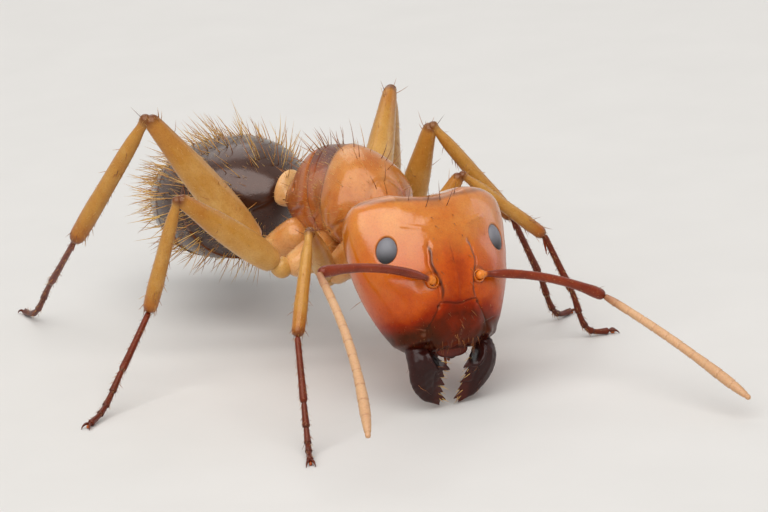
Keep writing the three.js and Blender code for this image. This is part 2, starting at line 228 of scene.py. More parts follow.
def limb_axis(node, towards):
    """A CAD limb's near and far end on its axis; the far end is nearer that point."""
    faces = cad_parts[node].data.polygons
    normals, centres = read(faces, "normal", 3), read(faces, "center", 3) / MM
    areas = read(faces, "area", 1)
    points = cad_points(node)
    middle = points.mean(axis=0)
    axis = np.linalg.svd(points - middle)[2][0]
    for _ in range(4):  # the axis is the way that the long sides' normals don't point
        side = np.abs(normals @ axis) < SIDE_ON
        axis = np.linalg.eigh((normals[side] * areas[side]).T @ normals[side])[1][:, 0]
    weight = np.sqrt(areas[side])
    rows = np.hstack([normals[side], np.ones((side.sum(), 1))]) * weight
    reach = (centres[side] * normals[side]).sum(axis=1)[:, None] * weight
    point = np.linalg.lstsq(rows, reach, rcond=None)[0][:3, 0]
    if (np.asarray(towards) - middle) @ axis < 0:
        axis = -axis
    along = (points - point) @ axis
    return point + axis * along.min(), point + axis * along.max()


# --------------------------------------------------------------------- skins

UV_MARGIN = 0.98  # how much of its cell of the UV map a skin fills
PATH_SAMPLES, PATH_STEP, END_ROWS = 400, 0.002, 6


class Skin:
    """A closed surface of rows between two poles, with masks at its points.

    rows and turns are counts of even steps from 0 to 1, or the places themselves.
    """

    def __init__(self, shape, rows, turns):
        rows = np.linspace(0, 1, rows) if isinstance(rows, int) else rows
        turns = np.arange(turns) / turns if isinstance(turns, int) else turns
        self.row, self.turn = np.meshgrid(rows, turns, indexing="ij")
        self.points = shape(self.row, self.turn)
        self.masks = {}
        self.height = self.dark = 0.0
        self.shown = 1.0
        self.close()
        step = np.roll(self.points, -1, axis=1) - self.points
        rise = np.gradient(self.points, axis=0)
        middle = self.points.mean(axis=(0, 1))
        if (np.cross(step, rise) * (self.points - middle)).sum() < 0:
            self.row, self.turn = self.row[:, ::-1], self.turn[:, ::-1]
            self.points = self.points[:, ::-1].copy()
        self.rise = np.sin(self.turn * FULL_TURN)
        self.run = self.row / self.row.max()

    def close(self):
        for end in (0, -1):
            self.points[end] = self.points[end].mean(axis=0)

    def normals(self):
        around = np.roll(self.points, -1, axis=1) - np.roll(self.points, 1, axis=1)
        along = np.gradient(self.points, axis=0)
        out = unit(np.cross(around, along))
        for end, near in ((0, 1), (-1, -2)):
            out[end] = unit(out[near].mean(axis=0))
        return out

    def way(self):
        """From one pole to the other."""
        return self.points[-1, 0] - self.points[0, 0]

    def mark(self, feature, height=0.0, dark=0.0):
        """Adds a feature: how far it raises the skin, and how much it darkens it."""
        self.height = self.height + height * feature
        self.dark = self.dark + dark * feature

    def swell(self, height):
        """Moves every point out by its height along the surface's normal."""
        self.points = self.points + self.normals() * np.asarray(height)[..., None]
        self.close()

    def mask(self, **values):
        for name, value in values.items():
            self.masks[name] = np.clip(value, 0, 1) + np.zeros(self.row.shape)
        return self

    def moved(self, place):
        self.points = place.out(self.points)
        return self

    def dress(self, warm, place):
        """Raises the marked features, keeps the masks and puts the skin in its place."""
        self.swell(self.shown * self.height)
        return self.mask(warm=warm, dark=self.dark).moved(place)

    def arrays(self):
        """Vertices, (faces, corner UVs) of quads and of triangles, and masks by vertex."""
        rows, sides = self.row.shape

        def by_vertex(grid):
            return np.concatenate([grid[0, :1], np.concatenate(grid[1:-1]), grid[-1, :1]])

        def faces(*corners):
            """Faces and their UVs, from each corner's column and row."""
            column, row = (np.stack(v, axis=-1).reshape(-1, len(corners)) for v in zip(*corners))
            vertex = 1 + (row - 1) * sides + column.astype(int) % sides
            uv = np.stack([column / sides, row / (rows - 1)], axis=-1)
            return np.clip(vertex, 0, 1 + (rows - 2) * sides), uv

        row, column = np.mgrid[1 : rows - 2, 0:sides]
        quads = faces((column, row), (column + 1, row), (column + 1, row + 1), (column, row + 1))
        row, column = np.mgrid[0:1, 0:sides]
        first = faces((column + 0.5, row), (column + 1, row + 1), (column, row + 1))
        row = row + rows - 1
        last = faces((column + 0.5, row), (column, row - 1), (column + 1, row - 1))
        caps = [np.concatenate(pair) for pair in zip(first, last)]
        masks = {name: by_vertex(value) for name, value in self.masks.items()}
        return by_vertex(self.points), [quads, caps], masks


def into_scene(name, data):
    thing = bpy.data.objects.new(name, data)
    bpy.context.scene.collection.objects.link(thing)
    return thing


def make_object(name, slot, lumps):
    """One mesh object of lumps of points, quads and triangles with UVs, and masks."""
    mesh = bpy.data.meshes.new(name)
    points, face_sets, masks = zip(*lumps)
    starts = np.cumsum([0, *map(len, points)])
    sizes, corners, uvs = [], [], []
    for same_size in zip(*face_sets):
        for start, (faces, uv) in zip(starts, same_size):
            sizes.append(np.full(len(faces), faces.shape[1]))
            corners.append((start + faces).ravel())
            uvs.append(uv.reshape(-1, 2))
    sizes = np.concatenate(sizes)

    def fill(items, key, values, kind=np.float32):
        items.foreach_set(key, np.ravel(values).astype(kind))

    mesh.vertices.add(starts[-1])
    fill(mesh.vertices, "co", np.concatenate(points) * MM)
    mesh.loops.add(sizes.sum())
    fill(mesh.loops, "vertex_index", np.concatenate(corners), np.int32)
    mesh.polygons.add(len(sizes))
    fill(mesh.polygons, "loop_start", np.cumsum(sizes) - sizes, np.int32)
    fill(mesh.polygons, "use_smooth", np.ones(len(sizes)), bool)
    layer = mesh.uv_layers.new(name="OFBake")
    mesh.update(calc_edges=True)
    fill(layer.uv, "vector", np.concatenate(uvs))
    for key in masks[0]:
        layer = mesh.attributes.new(key, "FLOAT", "POINT")
        fill(layer.data, "value", np.concatenate([mask[key] for mask in masks]))
    mesh.validate()
    mesh.materials.append(MATERIALS[slot])
    piece = into_scene(name, mesh)
    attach(piece, "root")
    return piece


def uv_cells(groups):
    """Each group with the corner and the size of its own square of the UV map."""
    cells = math.ceil(math.sqrt(len(groups)))
    for k, group in enumerate(groups):
        yield group, np.array([k % cells, k // cells]) / cells, 1 / cells


def add_piece(name, slot, node, *skins):
    """A finished piece of one or more skins that stands for a CAD node."""
    lumps = []
    for skin, corner, size in uv_cells(skins):
        points, face_sets, masks = skin.arrays()
        placed = [(faces, corner + UV_MARGIN * uv * size) for faces, uv in face_sets]
        lumps.append((points, placed, masks))
    piece = make_object(name, slot, lumps)
    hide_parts(node)


def tube(path, radius, rows, sides, flat=1.0):
    """A round limb along path(t), t from 0 to 1, with that radius and round ends.

    flat is its height over its width.
    """
    dense = np.linspace(0, 1, PATH_SAMPLES)
    run = distance_run(path(dense))
    length = run[-1]
    start, end = radius(np.zeros(1))[0], radius(np.ones(1))[0]
    ends = 1 - np.cos(np.linspace(0, np.pi / 2, END_ROWS + 1))[:-1]
    between = np.linspace(start, length - end, rows)
    stations = np.concatenate([start * ends, between, length - (end * ends)[::-1]])

    def shape(row, turn):
        t = np.interp(row, run, dense)
        near = [path(np.clip(t + step, 0, 1)) for step in (-PATH_STEP, 0, PATH_STEP)]
        way = unit(near[2] - near[0])
        across = unit(np.cross((0, 0, 1), way))
        above = np.cross(way, across)
        size = radius(t) * dome(np.minimum(row / start, (length - row) / end))
        side, rise = (size * v for v in circle(turn))
        return near[1] + side[..., None] * across + flat * rise[..., None] * above

    return Skin(shape, stations, sides)


def limb(start, end, radius, rows, sides, lead=0.0, bow=(0, 0, 0), flat=1.0):
    """A limb that begins lead before start; its t is how far towards end a point is."""
    start, end = np.array(start, float), np.array(end, float)
    way = end - start
    skin = tube(arc(start - unit(way) * lead, end, bow), radius, rows, sides, flat)
    skin.t = (skin.points - start) @ way / (way @ way)
    return skin
# ----------------------------------------------------------------- materials


def colour(code):
    """Linear red, green, blue and alpha of a hexadecimal display colour."""
    values = np.array([int(code[i : i + 2], 16) for i in (0, 2, 4)]) / 255
    linear = np.where(values < 0.04045, values / 12.92, ((values + 0.055) / 1.055) ** 2.4)
    return (*linear, 1.0)


class Nodes:
    """Short ways to add nodes to a material or the world."""

    def __init__(self, owner):
        owner.use_nodes = True
        self.owner, self.tree = owner, owner.node_tree

    def add(self, kind, **values):
        return self.set(self.tree.nodes.new("ShaderNode" + kind), **values)

    def set(self, node, **values):
        for key, value in values.items():
            if hasattr(node, key):
                setattr(node, key, value)
            else:
                self.feed(node.inputs[key.replace("_", " ")], value)
        return node

    def feed(self, socket, value):
        """Gives a socket a number, a colour code or another node's output."""
        if isinstance(value, bpy.types.NodeSocket):
            self.tree.links.new(value, socket)
        else:
            socket.default_value = colour(value) if isinstance(value, str) else value

    def surface(self, **values):
        """Sets the material's shader; textures are placed by the object's own space."""
        self.shader = self.set(self.tree.nodes["Principled BSDF"], **values)
        self.place = self.add("TexCoord").outputs["Object"]
        return self

    def noise(self, size, detail=3.0):
        """Noise from 0 to 1 whose lumps are about that many millimetres."""
        node = self.add("TexNoise", Scale=1 / (size * MM), Detail=detail, Vector=self.place)
        return node.outputs["Fac"]

    def cells(self, size, feature="F1"):
        node = self.add("TexVoronoi", feature=feature, Scale=1 / (size * MM), Vector=self.place)
        return node.outputs["Distance"]

    def attribute(self, name):
        return self.add("Attribute", attribute_name=name).outputs["Fac"]

    def maths(self, operation, a, b):
        node = self.add("Math", operation=operation)
        self.feed(node.inputs[0], a)
        self.feed(node.inputs[1], b)
        return node.outputs["Value"]

    def spread(self, value, low, high, start=0.3, end=0.7):
        """The value taken from start..end to low..high."""
        ends = {"From_Min": start, "From_Max": end, "To_Min": low, "To_Max": high}
        return self.add("MapRange", Value=value, **ends).outputs["Result"]

    def drift(self, size, low, high, detail=3.0):
        """Noise of that size between low and high."""
        return self.spread(self.noise(size, detail), low, high)

    def ramp(self, value, stops):
        """Colours along a value, from (place, colour code) stops."""
        node = self.add("ValToRGB", Fac=value)
        elements = node.color_ramp.elements
        while len(elements) < len(stops):
            elements.new(0.5)
        for element, (place, code) in zip(elements, stops):
            element.position = place
            element.color = colour(code)
        return node.outputs["Color"]

    def mix(self, factor, a, b, blend="MIX"):
        node = self.add("Mix", data_type="RGBA", blend_type=blend)
        for socket, value in zip((node.inputs[0], node.inputs[6], node.inputs[7]), (factor, a, b)):
            self.feed(socket, value)
        return node.outputs[2]

    def bump(self, *layers):
        """Bump from (height, strength, depth in millimetres) layers, coarse first."""
        before = {}
        for height, strength, depth in layers:
            node = self.add("Bump", Strength=strength, Distance=depth * MM, Height=height, **before)
            before = {"Normal": node.outputs["Normal"]}
        self.set(self.shader, Normal=before["Normal"], Coat_Normal=before["Normal"])

    def paint(self, base, roughness):
        self.set(self.shader, Base_Color=base, Roughness=roughness)
        return self.owner


def surface(name, **values):
    return Nodes(bpy.data.materials.new(name)).surface(**values)


def shell_material(
    name, palette, coat, dark="22100b", roughness=0.3, grain=0.02, glow=0.08, specular=0.35,
    sheen="ffffff", low_coat=None,
):
    """Horny shell: masks warm and dark choose its colour, over a fine netted surface.

    low_coat is the coat's weight where the shell is darkest, if it differs there.
    """
    nodes = surface(
        name, Roughness=roughness, Specular_IOR_Level=specular, Specular_Tint=sheen,
        Subsurface_Weight=glow, Subsurface_Scale=0.12 * MM, Subsurface_Radius=(1.0, 0.3, 0.08),
        Coat_Weight=coat, Coat_Roughness=0.14, Coat_IOR=1.55,
    )
    cloud = nodes.drift(0.45, -0.08, 0.08, 4)
    streak = nodes.drift(0.13, -0.035, 0.035)
    warm = nodes.maths("ADD", nodes.attribute("warm"), nodes.maths("ADD", cloud, streak))
    base = nodes.ramp(warm, palette)
    speck = nodes.spread(nodes.noise(0.03, 2), 0.0, 0.22, 0.45, 0.7)
    base = nodes.mix(speck, base, nodes.mix(1.0, base, "b07a50", "MULTIPLY"))
    edge = nodes.attribute("dark")
    edge = nodes.maths("ADD", edge, nodes.drift(0.11, -0.09, 0.09))
    edge = nodes.maths("MULTIPLY", edge, nodes.spread(nodes.attribute("dark"), 0, 1, 0, 0.12))
    base = nodes.mix(nodes.spread(edge, 0, 1, 0, 1), base, dark)
    net = nodes.cells(grain, "SMOOTH_F1")
    pits = nodes.spread(nodes.cells(grain * 6), 0.0, 1.0, 0.0, 0.22)
    dents = nodes.noise(0.3, 2)
    nodes.bump((dents, 0.24, 0.02), (pits, 0.18, grain * 0.35), (net, 0.16, grain * 0.25))
    if low_coat is not None:
        polish = nodes.spread(nodes.attribute("warm"), coat, low_coat, 0.3, 0.75)
        nodes.set(nodes.shader, Coat_Weight=polish)
    return nodes.paint(base, nodes.drift(0.09, roughness - 0.05, roughness + 0.08))


ORANGE = [(0.0, "d28632"), (0.28, "c46608"), (0.55, "be4c00"), (0.8, "8a1e00"), (1.0, "500c00")]
AMBER = [(0.0, "dcac70"), (0.35, "c47a34"), (0.65, "a54c10"), (1.0, "5c1a06")]
HONEY = [(0.0, "d6ac68"), (0.35, "bb8438"), (0.65, "a45c1a"), (1.0, "66200a")]
RUST = [(0.0, "e0802a"), (0.3, "943a18"), (0.6, "6a220f"), (1.0, "380f07")]
FLESH = [(0.0, "dab086"), (0.5, "c89a70"), (1.0, "8a4c33")]
PITCH = [(0.0, "7a4624"), (0.4, "401d0f"), (1.0, "1a0d0a")]
COAL = [(0.0, "5c2214"), (0.5, "34100b"), (1.0, "1e0a08")]
EYE_GREY = [(0.0, "6e6d72"), (1.0, "7e7d83")]
STRAW = [(0.0, "e6bd6c"), (0.5, "a8662c"), (1.0, "4f1f10")]

SHELLS = {
    "head_shell": dict(
        palette=ORANGE, dark="300a03", roughness=0.32, coat=1.0, low_coat=0.12, sheen="ffa860"
    ),
    "trunk_shell": dict(palette=AMBER, dark="4a1a0c", roughness=0.32, coat=0.6, sheen="ffc080"),
    "leg_shell": dict(
        palette=HONEY, dark="54190d", roughness=0.36, grain=0.016, coat=0.35, sheen="ffd090"
    ),
    "foot_shell": dict(
        palette=RUST, roughness=0.4, grain=0.014, glow=0.05, coat=0.25, sheen="ffb080"
    ),
    "feeler_shell": dict(
        palette=RUST, roughness=0.33, grain=0.014, glow=0.05, coat=0.3, sheen="ffa080"
    ),
    "feeler_whip": dict(palette=FLESH, dark="8a5236", roughness=0.5, grain=0.012, coat=0.15),
    "gaster_shell": dict(palette=PITCH, dark="120b09", glow=0, coat=0.6, sheen="ffc8b0"),
    "jaw_shell": dict(
        palette=COAL, dark="0e0808", roughness=0.34, glow=0, coat=0.22, specular=0.12
    ),
    "mouth_shell": dict(palette=RUST, roughness=0.38, coat=0.2, specular=0.2),
}
MATERIALS = {name: shell_material(name, **look) for name, look in SHELLS.items()}


def eye_material():
    nodes = surface(
        "eye_lens", Roughness=0.4, Specular_IOR_Level=0.35, Coat_Weight=0.2, Coat_Roughness=0.3
    )
    base = nodes.ramp(nodes.drift(0.3, 0.25, 0.75), EYE_GREY)
    # Painted shade: the mask dark here is the eye's darkened lower part, mixed towards near black.
    base = nodes.mix(nodes.attribute("dark"), base, "0a0808")
    nodes.bump((nodes.cells(0.012), 0.15, 0.002))
    return nodes.paint(base, nodes.drift(0.05, 0.36, 0.46))


def hair_material():
    nodes = surface("hair", Roughness=0.42)
    tone = nodes.maths("ADD", nodes.attribute("tint"), nodes.drift(0.2, -0.15, 0.15))
    base = nodes.ramp(tone, STRAW)
    nodes.bump((nodes.noise(0.01), 0.3, 0.001))
    return nodes.paint(base, nodes.drift(0.02, 0.38, 0.55))


MATERIALS["eye_lens"] = eye_material()
MATERIALS["hair"] = hair_material()


# ---------------------------------------------------------------------- head

HEAD_CHEEK = curve((-1, 0.58), (-0.8, 0.69), (-0.5, 0.82), (-0.25, 0.91), (0.07, 0.99),
                   (0.35, 1.02), (0.75, 1.03), (1, 1))
HEAD_FACE = curve((-1, 0.66), (-0.6, 0.88), (-0.15, 1), (0.35, 0.88), (0.8, 0.7), (1, 0.56))
HEAD_THROAT = curve((-1, 0.3), (-0.6, 0.66), (0, 0.95), (0.5, 1), (1, 0.7))
CARINA = curve((-0.66, 0.36), (-0.57, 0.338), (-0.42, 0.318), (-0.25, 0.345), (-0.07, 0.402),
               (0.12, 0.45), (0.3, 0.422), (0.5, 0.43))
CLYPEUS_SIDE = curve((-1.5, 0.45), (-1.35, 0.54), (-1.2, 0.61), (-1.05, 0.6), (-0.9, 0.52),
                     (-0.75, 0.44), (-0.63, 0.39), (-0.5, 0.36))
CLYPEUS_TOP, CLYPEUS_RIM = -0.63, -1.44
HEXAGON = math.sqrt(3) / 2  # a hexagon's width over its height
DARK_BELOW = curve((0, -1.41), (0.25, -1.36), (0.45, -1.18), (0.62, -1.02), (0.8, -1.03),
                   (1.3, -1.1))


def head_fullness(u):
    return np.where(u < 0, fullness(u, 9), fullness(u, 6))


def head_shape(u, turn):
    """Head capsule: Z runs from the mouth up to the crown and -Y is the face."""
    full = head_fullness(u)
    bend = np.where(turn < 0.5, 2.3 - 0.45 * smooth(-0.6, 0.3, u), 2.3)
    across, front = squircle(turn, bend)
    x = HEAD_WIDTH / 2 * HEAD_CHEEK(u) * full * across
    depth = np.where(front > 0, FACE_DEPTH * HEAD_FACE(u), THROAT_DEPTH * HEAD_THROAT(u))
    middle = np.where(u < 0, -0.18 * u * u, 0)
    y = middle - depth * front * full - middle * np.abs(front) * full
    notch = smooth(0.3, 1, u) * np.maximum(0, 1 - (x / 0.75) ** 2)
    return np.stack([x, y, HEAD_LENGTH / 2 * u - LOBE_RISE * notch], axis=-1)


def head_relief(skin):
    """Marks the head's ridges, pits, seams and colours, and returns the mask warm."""
    x, y, up = np.moveaxis(skin.points, -1, 0)
    wide, face, back = np.abs(x), smooth(0.15, -0.15, y), smooth(0.2, 0.5, y)

    def on_face(feature, height=0.0, dark=0.0):
        skin.mark(face * feature, height, dark)

    # Frontal ridges: a lobe that slopes up from the middle and drops away outside.
    beside = wide - CARINA(up)
    crest = np.where(beside < 0, hump(beside, 0.11), hump(beside, 0.022))
    reach = band(up, -0.66, -0.52, 0.3, 0.52) * (1 - 0.5 * smooth(-0.35, -0.5, up))
    on_face(reach * crest, 0.042)
    on_face(reach * hump(beside - 0.055, 0.035), -0.026)
    reach = band(up, -0.63, -0.5, 0.36, 0.5)
    on_face(reach * hump(beside - 0.012, 0.017), dark=0.85)
    on_face(reach * hump(beside + 0.012, 0.014), dark=0.55)
    on_face(spot((wide - 0.425) / 0.5, up - 0.45, 0.07), -0.03)
    on_face(spot((wide - 0.425) / 0.4, up - 0.45, 0.07), dark=0.3)

    # The hollow that each feeler's socket sits in.
    socket = np.hypot(wide - SOCKET_OUT, up - SOCKET_UP)
    on_face(spot(wide - 0.66, up + 0.22, 0.16), -0.03)
    on_face(hump(socket, 0.2), -0.02)
    on_face(hump(socket - 0.16, 0.03), dark=0.35)
    amber = face * hump(socket, 0.14)

    # Clypeus: bulged, keeled along its middle, with fine seams round it.
    seam = wide - CLYPEUS_SIDE(up)
    top = CLYPEUS_TOP - 0.06 * hump(x, 0.2)
    low = smooth(CLYPEUS_TOP + 0.03, CLYPEUS_TOP - 0.03, up)
    inside = smooth(0.02, -0.2, seam) * low * face
    on_face(low * hump(seam, 0.02) * smooth(-1.5, -1.35, up), -0.008)
    on_face(low * hump(seam, 0.016), dark=0.5)
    on_face(low * hump(seam, 0.07) * smooth(-0.6, -0.9, up), dark=0.3)
    on_face(hump(up - top, 0.02) * smooth(0.42, 0.36, wide), -0.022, 0.45)
    arch = np.sin(np.pi * np.clip((top - up) / (top - CLYPEUS_RIM), 0, 1))
    skin.mark(inside * arch, 0.045)
    skin.mark(inside * arch * hump(x, 0.06), 0.014)
    skin.mark(inside * np.sin(23 * x) * np.sin(19 * up + 3), 0.004)
    rim = hump(up - CLYPEUS_RIM - 0.02 * np.cos(x * 26), 0.032)
    on_face(rim * smooth(0.5, 0.38, wide), 0.03)
    on_face(spot(wide - 0.42, up + 0.7, 0.035), -0.03, 0.5)

    # The cheek's corner over the jaw joint, the notch beside it, and the cheek's seam.
    on_face(spot((wide - 0.68) / 1.2, (up + 1.25) / 0.95, 0.11), 0.085)
    on_face(spot((wide - 0.6) * 1.4, (up + 1.4) * 1.3, 0.09), -0.05)
    on_face(spot((wide - 1.0) / 1.6, up + 1.3, 0.08), 0.035)
    cheek_seam = hump(up + 1.1 - 0.25 * (wide - 0.6), 0.018)
    on_face(cheek_seam * band(wide, 0.58, 0.64, 0.8, 0.95), -0.014)

    # Middle line of the forehead, and faint dents where muscles hold inside.
    on_face(hump(x, 0.013) * band(up, 0.05, 0.16, 0.36, 0.5), -0.004, 0.3)
    on_face(spot(x / 0.32, (up - 0.3) / 0.35, 1.0), dark=0.14)
    on_face(hump(x, 0.03) * band(up, -0.64, -0.5, -0.2, 0.05), 0.012)
    sweep = hump(up - 0.78 - 0.28 * (wide - 0.4), 0.05)
    on_face(sweep * band(wide, 0.3, 0.5, 0.8, 1.0), 0.016)
    on_face(np.sin(7 * x + 2 * np.sin(3 * up)) * np.sin(6 * up + 1.5 * wide), 0.006)

    # A thin sunk rim where each eye sits.
    for side in SIDES.values():
        eye = eye_distance(skin.points, side)
        skin.mark(hump(eye - 1.0, 0.09), -0.028)
        skin.mark(smooth(1.16, 1.04, eye), dark=0.85)

    # The bead round the neck hole and the throat's middle seam.
    nape = smooth(0.25, 0.6, y) * smooth(1.28, 1.36, up)
    skin.mark(back * hump(nape - 0.5, 0.3), 0.02)
    skin.mark(back * hump(x, 0.02) * smooth(1.0, 0.6, up), -0.025, 0.5)

    # Dark margin over the jaws and mouth, and dusky patches on the crown.
    margin = smooth(0.15, -0.15, up - DARK_BELOW(wide))
    skin.mark(margin * (0.96 - 0.2 * smooth(0.5, 0.2, wide)), dark=1.0)
    skin.mark(smooth(-1.15, -1.4, up) * smooth(-0.1, 0.2, y), dark=0.8)
    crown = hump(up - 1.33 - 0.09 * np.minimum(1, wide), 0.045)
    skin.mark(crown * band(y, -0.75, -0.45, 0.0, 0.3), dark=0.5)
    dusk = smooth(0.24, 0.1, wide) * smooth(1.05, 1.3, up) * smooth(0.3, -0.1, y)
    skin.mark(dusk, dark=0.22)
    skin.dark *= 1 - 0.5 * amber
    warm = 0.2 + 0.26 * smooth(1.1, -0.2, up) + 0.2 * smooth(-0.2, -1.0, up)
    warm += face * 0.2 * hump(x, 0.45) * smooth(0.7, 0.0, up)
    warm += inside * (0.1 + 0.22 * smooth(-0.7, -1.1, up))
    warm += 0.16 * smooth(-0.75, -1.05, up) * (1 - inside)
    warm += face * 0.12 * spot(wide - 0.62, up + 0.85, 0.22)
    return warm - 0.1 * spot(wide - 0.95, up - 0.95, 0.5) - 0.2 * amber


def socket_ring(side):
    """The amber rim and dish that a feeler turns in."""
    radius = curve((0, 0), (0.3, 0.075), (0.5, 0.104), (0.7, 0.134), (0.85, 0.12), (1, 0))
    rise = curve((0, -0.045), (0.3, -0.03), (0.5, 0.032), (0.7, -0.02), (0.85, -0.09), (1, -0.12))

    def shape(row, turn):
        across, above = radius(row) * circle(turn)
        x, z = side * SOCKET_OUT + across, SOCKET_UP - 0.02 + above
        return np.stack([x, -SOCKET_FRONT - rise(row), z], axis=-1)

    skin = Skin(shape, 60, 64)
    skin.mark(smooth(0.3, 0.1, skin.row), dark=0.6)
    return skin.dress(0.3 + 0.3 * smooth(0.5, 0.75, skin.row), HEAD)


def build_head():
    rows = evenly(lambda u: (HEAD_LENGTH / 2 * u, 1.15 * head_fullness(u)), -1, 1, 400)
    ahead = np.linspace(0, 0.5, 300, endpoint=False)
    behind = np.linspace(0.5, 1, 130, endpoint=False)
    skin = Skin(head_shape, rows, np.concatenate([ahead, behind]))
    skin.dress(head_relief(skin), HEAD)
    rings = [socket_ring(side) for side in SIDES.values()]
    add_piece("head_capsule", "head_shell", "head", skin, *rings)
    return skin


def eye_place(side):
    """An eye's frame within the head: -Y looks out and Z is its long axis."""
    turn = turned(("Z", side * EYE_TURN), ("Y", -side * EYE_TILT))
    return Place(turn, (side * EYE_OUT, -EYE_FRONT, EYE_UP))


def eye_distance(points, side):
    """How far points of the head are from an eye's middle, where its surface is 1."""
    return np.linalg.norm(eye_place(side).back(points) / EYE_SIZE * 2, axis=-1)


def build_eye(name, side):
    """A compound eye: an egg covered with small domed lenses in a honeycomb."""
    lens, lens_rise = 0.026, 0.003

    def shape(row, turn):
        tilt = row * np.pi
        across, front = np.sin(tilt) * circle(turn)
        way = np.stack([across, front, np.cos(tilt)], axis=-1)
        level, up = np.arctan2(across, -front) * EYE_SIZE[0] / 2, way[..., 2] * EYE_SIZE[2] / 2
        steps = [(1, 0), (0.5, HEXAGON), (-0.5, HEXAGON)]
        waves = [np.cos(FULL_TURN * (level * a + up * b) / lens / HEXAGON) for a, b in steps]
        return way * (EYE_SIZE / 2 + lens_rise * smooth(-1.5, 3, sum(waves))[..., None])

    skin = Skin(shape, 190, 240)
    # Painted shade: the lower part of the eye is darkened almost to black, as if lit from above.
    skin.mark(smooth(0.12, -0.2, skin.points[..., 2]), dark=0.97)
    skin.mask(dark=skin.dark).moved(eye_place(side)).moved(HEAD)
    add_piece(f"eye_lens_{name}", "eye_lens", f"eye_{name}", skin)


# ----------------------------------------------------------------------- jaws

JAW_TOP, JAW_TIP = -1.33, -2.54
JAW_OUTER = curve((0, 0.88), (0.2, 0.92), (0.4, 0.92), (0.6, 0.86), (0.8, 0.69), (0.92, 0.5),
                  (1, 0.27))
JAW_INNER = curve((0, 0.46), (0.15, 0.44), (0.26, 0.35), (0.34, 0.28), (0.5, 0.28), (0.7, 0.24),
                  (0.88, 0.18), (1, 0.14))
JAW_THICK = curve((0, 0.5), (0.2, 0.52), (0.5, 0.42), (0.8, 0.26), (1, 0.12))
JAW_FRONT = curve((0, 0.22), (0.2, 0.36), (0.38, 0.38), (0.6, 0.26), (0.8, 0.12), (1, 0.0))
JAW_SWEEP = 0.16  # how far the chewing edge stands forward of the outer one at the base
TOOTH_STARTS = [0.32, 0.47, 0.58, 0.7, 0.81, 0.93]
TOOTH_SIZES = [1.1, 0.5, 0.75, 0.55, 0.85]


def tooth_height(part):
    """How far the chewing edge stands out: sharp teeth that lean towards the tip."""
    out = np.zeros(part.shape)
    for start, end, size in zip(TOOTH_STARTS, TOOTH_STARTS[1:], TOOTH_SIZES):
        u = np.clip((part - start) / (end - start), 0, 1)
        point = np.minimum(u / 0.66, (1 - u) / 0.34)
        out = np.maximum(out, size * (0.5 * point + 0.5 * np.sin(np.pi * u**1.6)))
    return out


def jaw_part(up):
    """Where a height in the head's frame lies along a jaw, from 0 to 1 at its tip."""
    return (up - JAW_TOP) / (JAW_TIP - JAW_TOP)


def build_jaw(name, side):
    def shape(part, turn):
        across, front = circle(turn)
        full = dome(part / 0.05) * np.clip((1 - part) / 0.09, 0, 1) ** 0.6
        outer, inner = JAW_OUTER(part), JAW_INNER(part)
        blade = 0.16 + 0.84 * ((1 + across) / 2) ** 0.6
        tooth = tooth_height(part) * ((1 - across) / 2) ** 5 * smooth(1.0, 0.96, part)
        x = (outer + inner) / 2 + (outer - inner) / 2 * full * across - 0.115 * tooth
        z = JAW_TOP + (JAW_TIP - JAW_TOP) * part - 0.06 * tooth
        sweep = JAW_SWEEP * (1 - across) / 2 * band(part, 0.0, 0.25, 0.35, 0.8)
        y = -JAW_FRONT(part) - sweep - JAW_THICK(part) / 2 * full * blade * front
        return np.stack([side * x, y, z], axis=-1)

    skin = Skin(shape, 340, 120)
    x, y, up = np.moveaxis(skin.points, -1, 0)
    part, wide = jaw_part(up), np.abs(x)
    inner = wide - JAW_INNER(part)
    front = smooth(-0.05, -0.2, y + JAW_FRONT(part))
    facet = np.hypot((wide - 0.41 - 0.4 * (up + 1.7)) / 0.13, (up + 1.7) / 0.21)
    dished = smooth(1.1, 0.25, facet)
    skin.points[..., 1] += 0.09 * dished
    skin.mark(hump(facet - 1.22, 0.2) * front * smooth(0.05, 0.16, inner), 0.036)
    skin.mark(hump(wide - JAW_OUTER(part) + 0.2, 0.04) * smooth(0.1, 0.3, part) * front, 0.012)
    skin.mark(hump(part - 0.1, 0.025) * smooth(0.5, 0.62, wide) * front, 0.025)
    skin.mark(hump(inner - 0.17, 0.03) * band(part, 0.4, 0.5, 0.85, 0.95) * front, -0.02)
    tooth_roots = np.sin(60 * part + 4) * hump(inner - 0.08, 0.05)
    skin.mark(tooth_roots * band(part, 0.38, 0.5, 0.85, 0.95) * front, 0.012)
    ripple = np.sin(34 * wide + 9 * up) * np.sin(29 * up - 6 * wide)
    skin.mark(ripple * smooth(0.95, 0.8, part), 0.0035)
    skin.mark(front, dark=0.2)
    # Painted shade: the hollow of the dished facet is darkened much further, as if in shadow.
    skin.mark(front * dished, dark=0.8)
    skin.dress(0.62 - 0.3 * smooth(0.25, 0.6, part) * smooth(0.45, 0.3, wide), HEAD)
    add_piece(f"jaw_{name}", "jaw_shell", f"mandible_{name}", skin)
    return skin


def mouth_pad(centre, size, power=2.6):
    def shape(row, turn):
        across, front = squircle(turn, power)
        ring = np.sin(row * np.pi) ** (2 / power)
        drop = np.cos(row * np.pi)
        z = -np.sign(drop) * np.abs(drop) ** (2 / power)
        points = np.stack([ring * across, ring * front, z], axis=-1)
        return np.array(centre) + points * np.array(size)

    skin = Skin(shape, 40, 48)
    return skin.dress(0.6 + 0.3 * smooth(-1.5, -1.7, skin.points[..., 2]), HEAD)


def palp(side, radius, joints, *knots):
    def size(t):
        return radius * (1 - 0.45 * t) * (1 - 0.3 * hump((t * joints) % 1 - 0.02, 0.12))

    path = bent(*[HEAD.out((side * x, y, z)) for x, y, z in knots])
    return tube(path, size, 90, 14).mask(warm=0.3, dark=0.0)


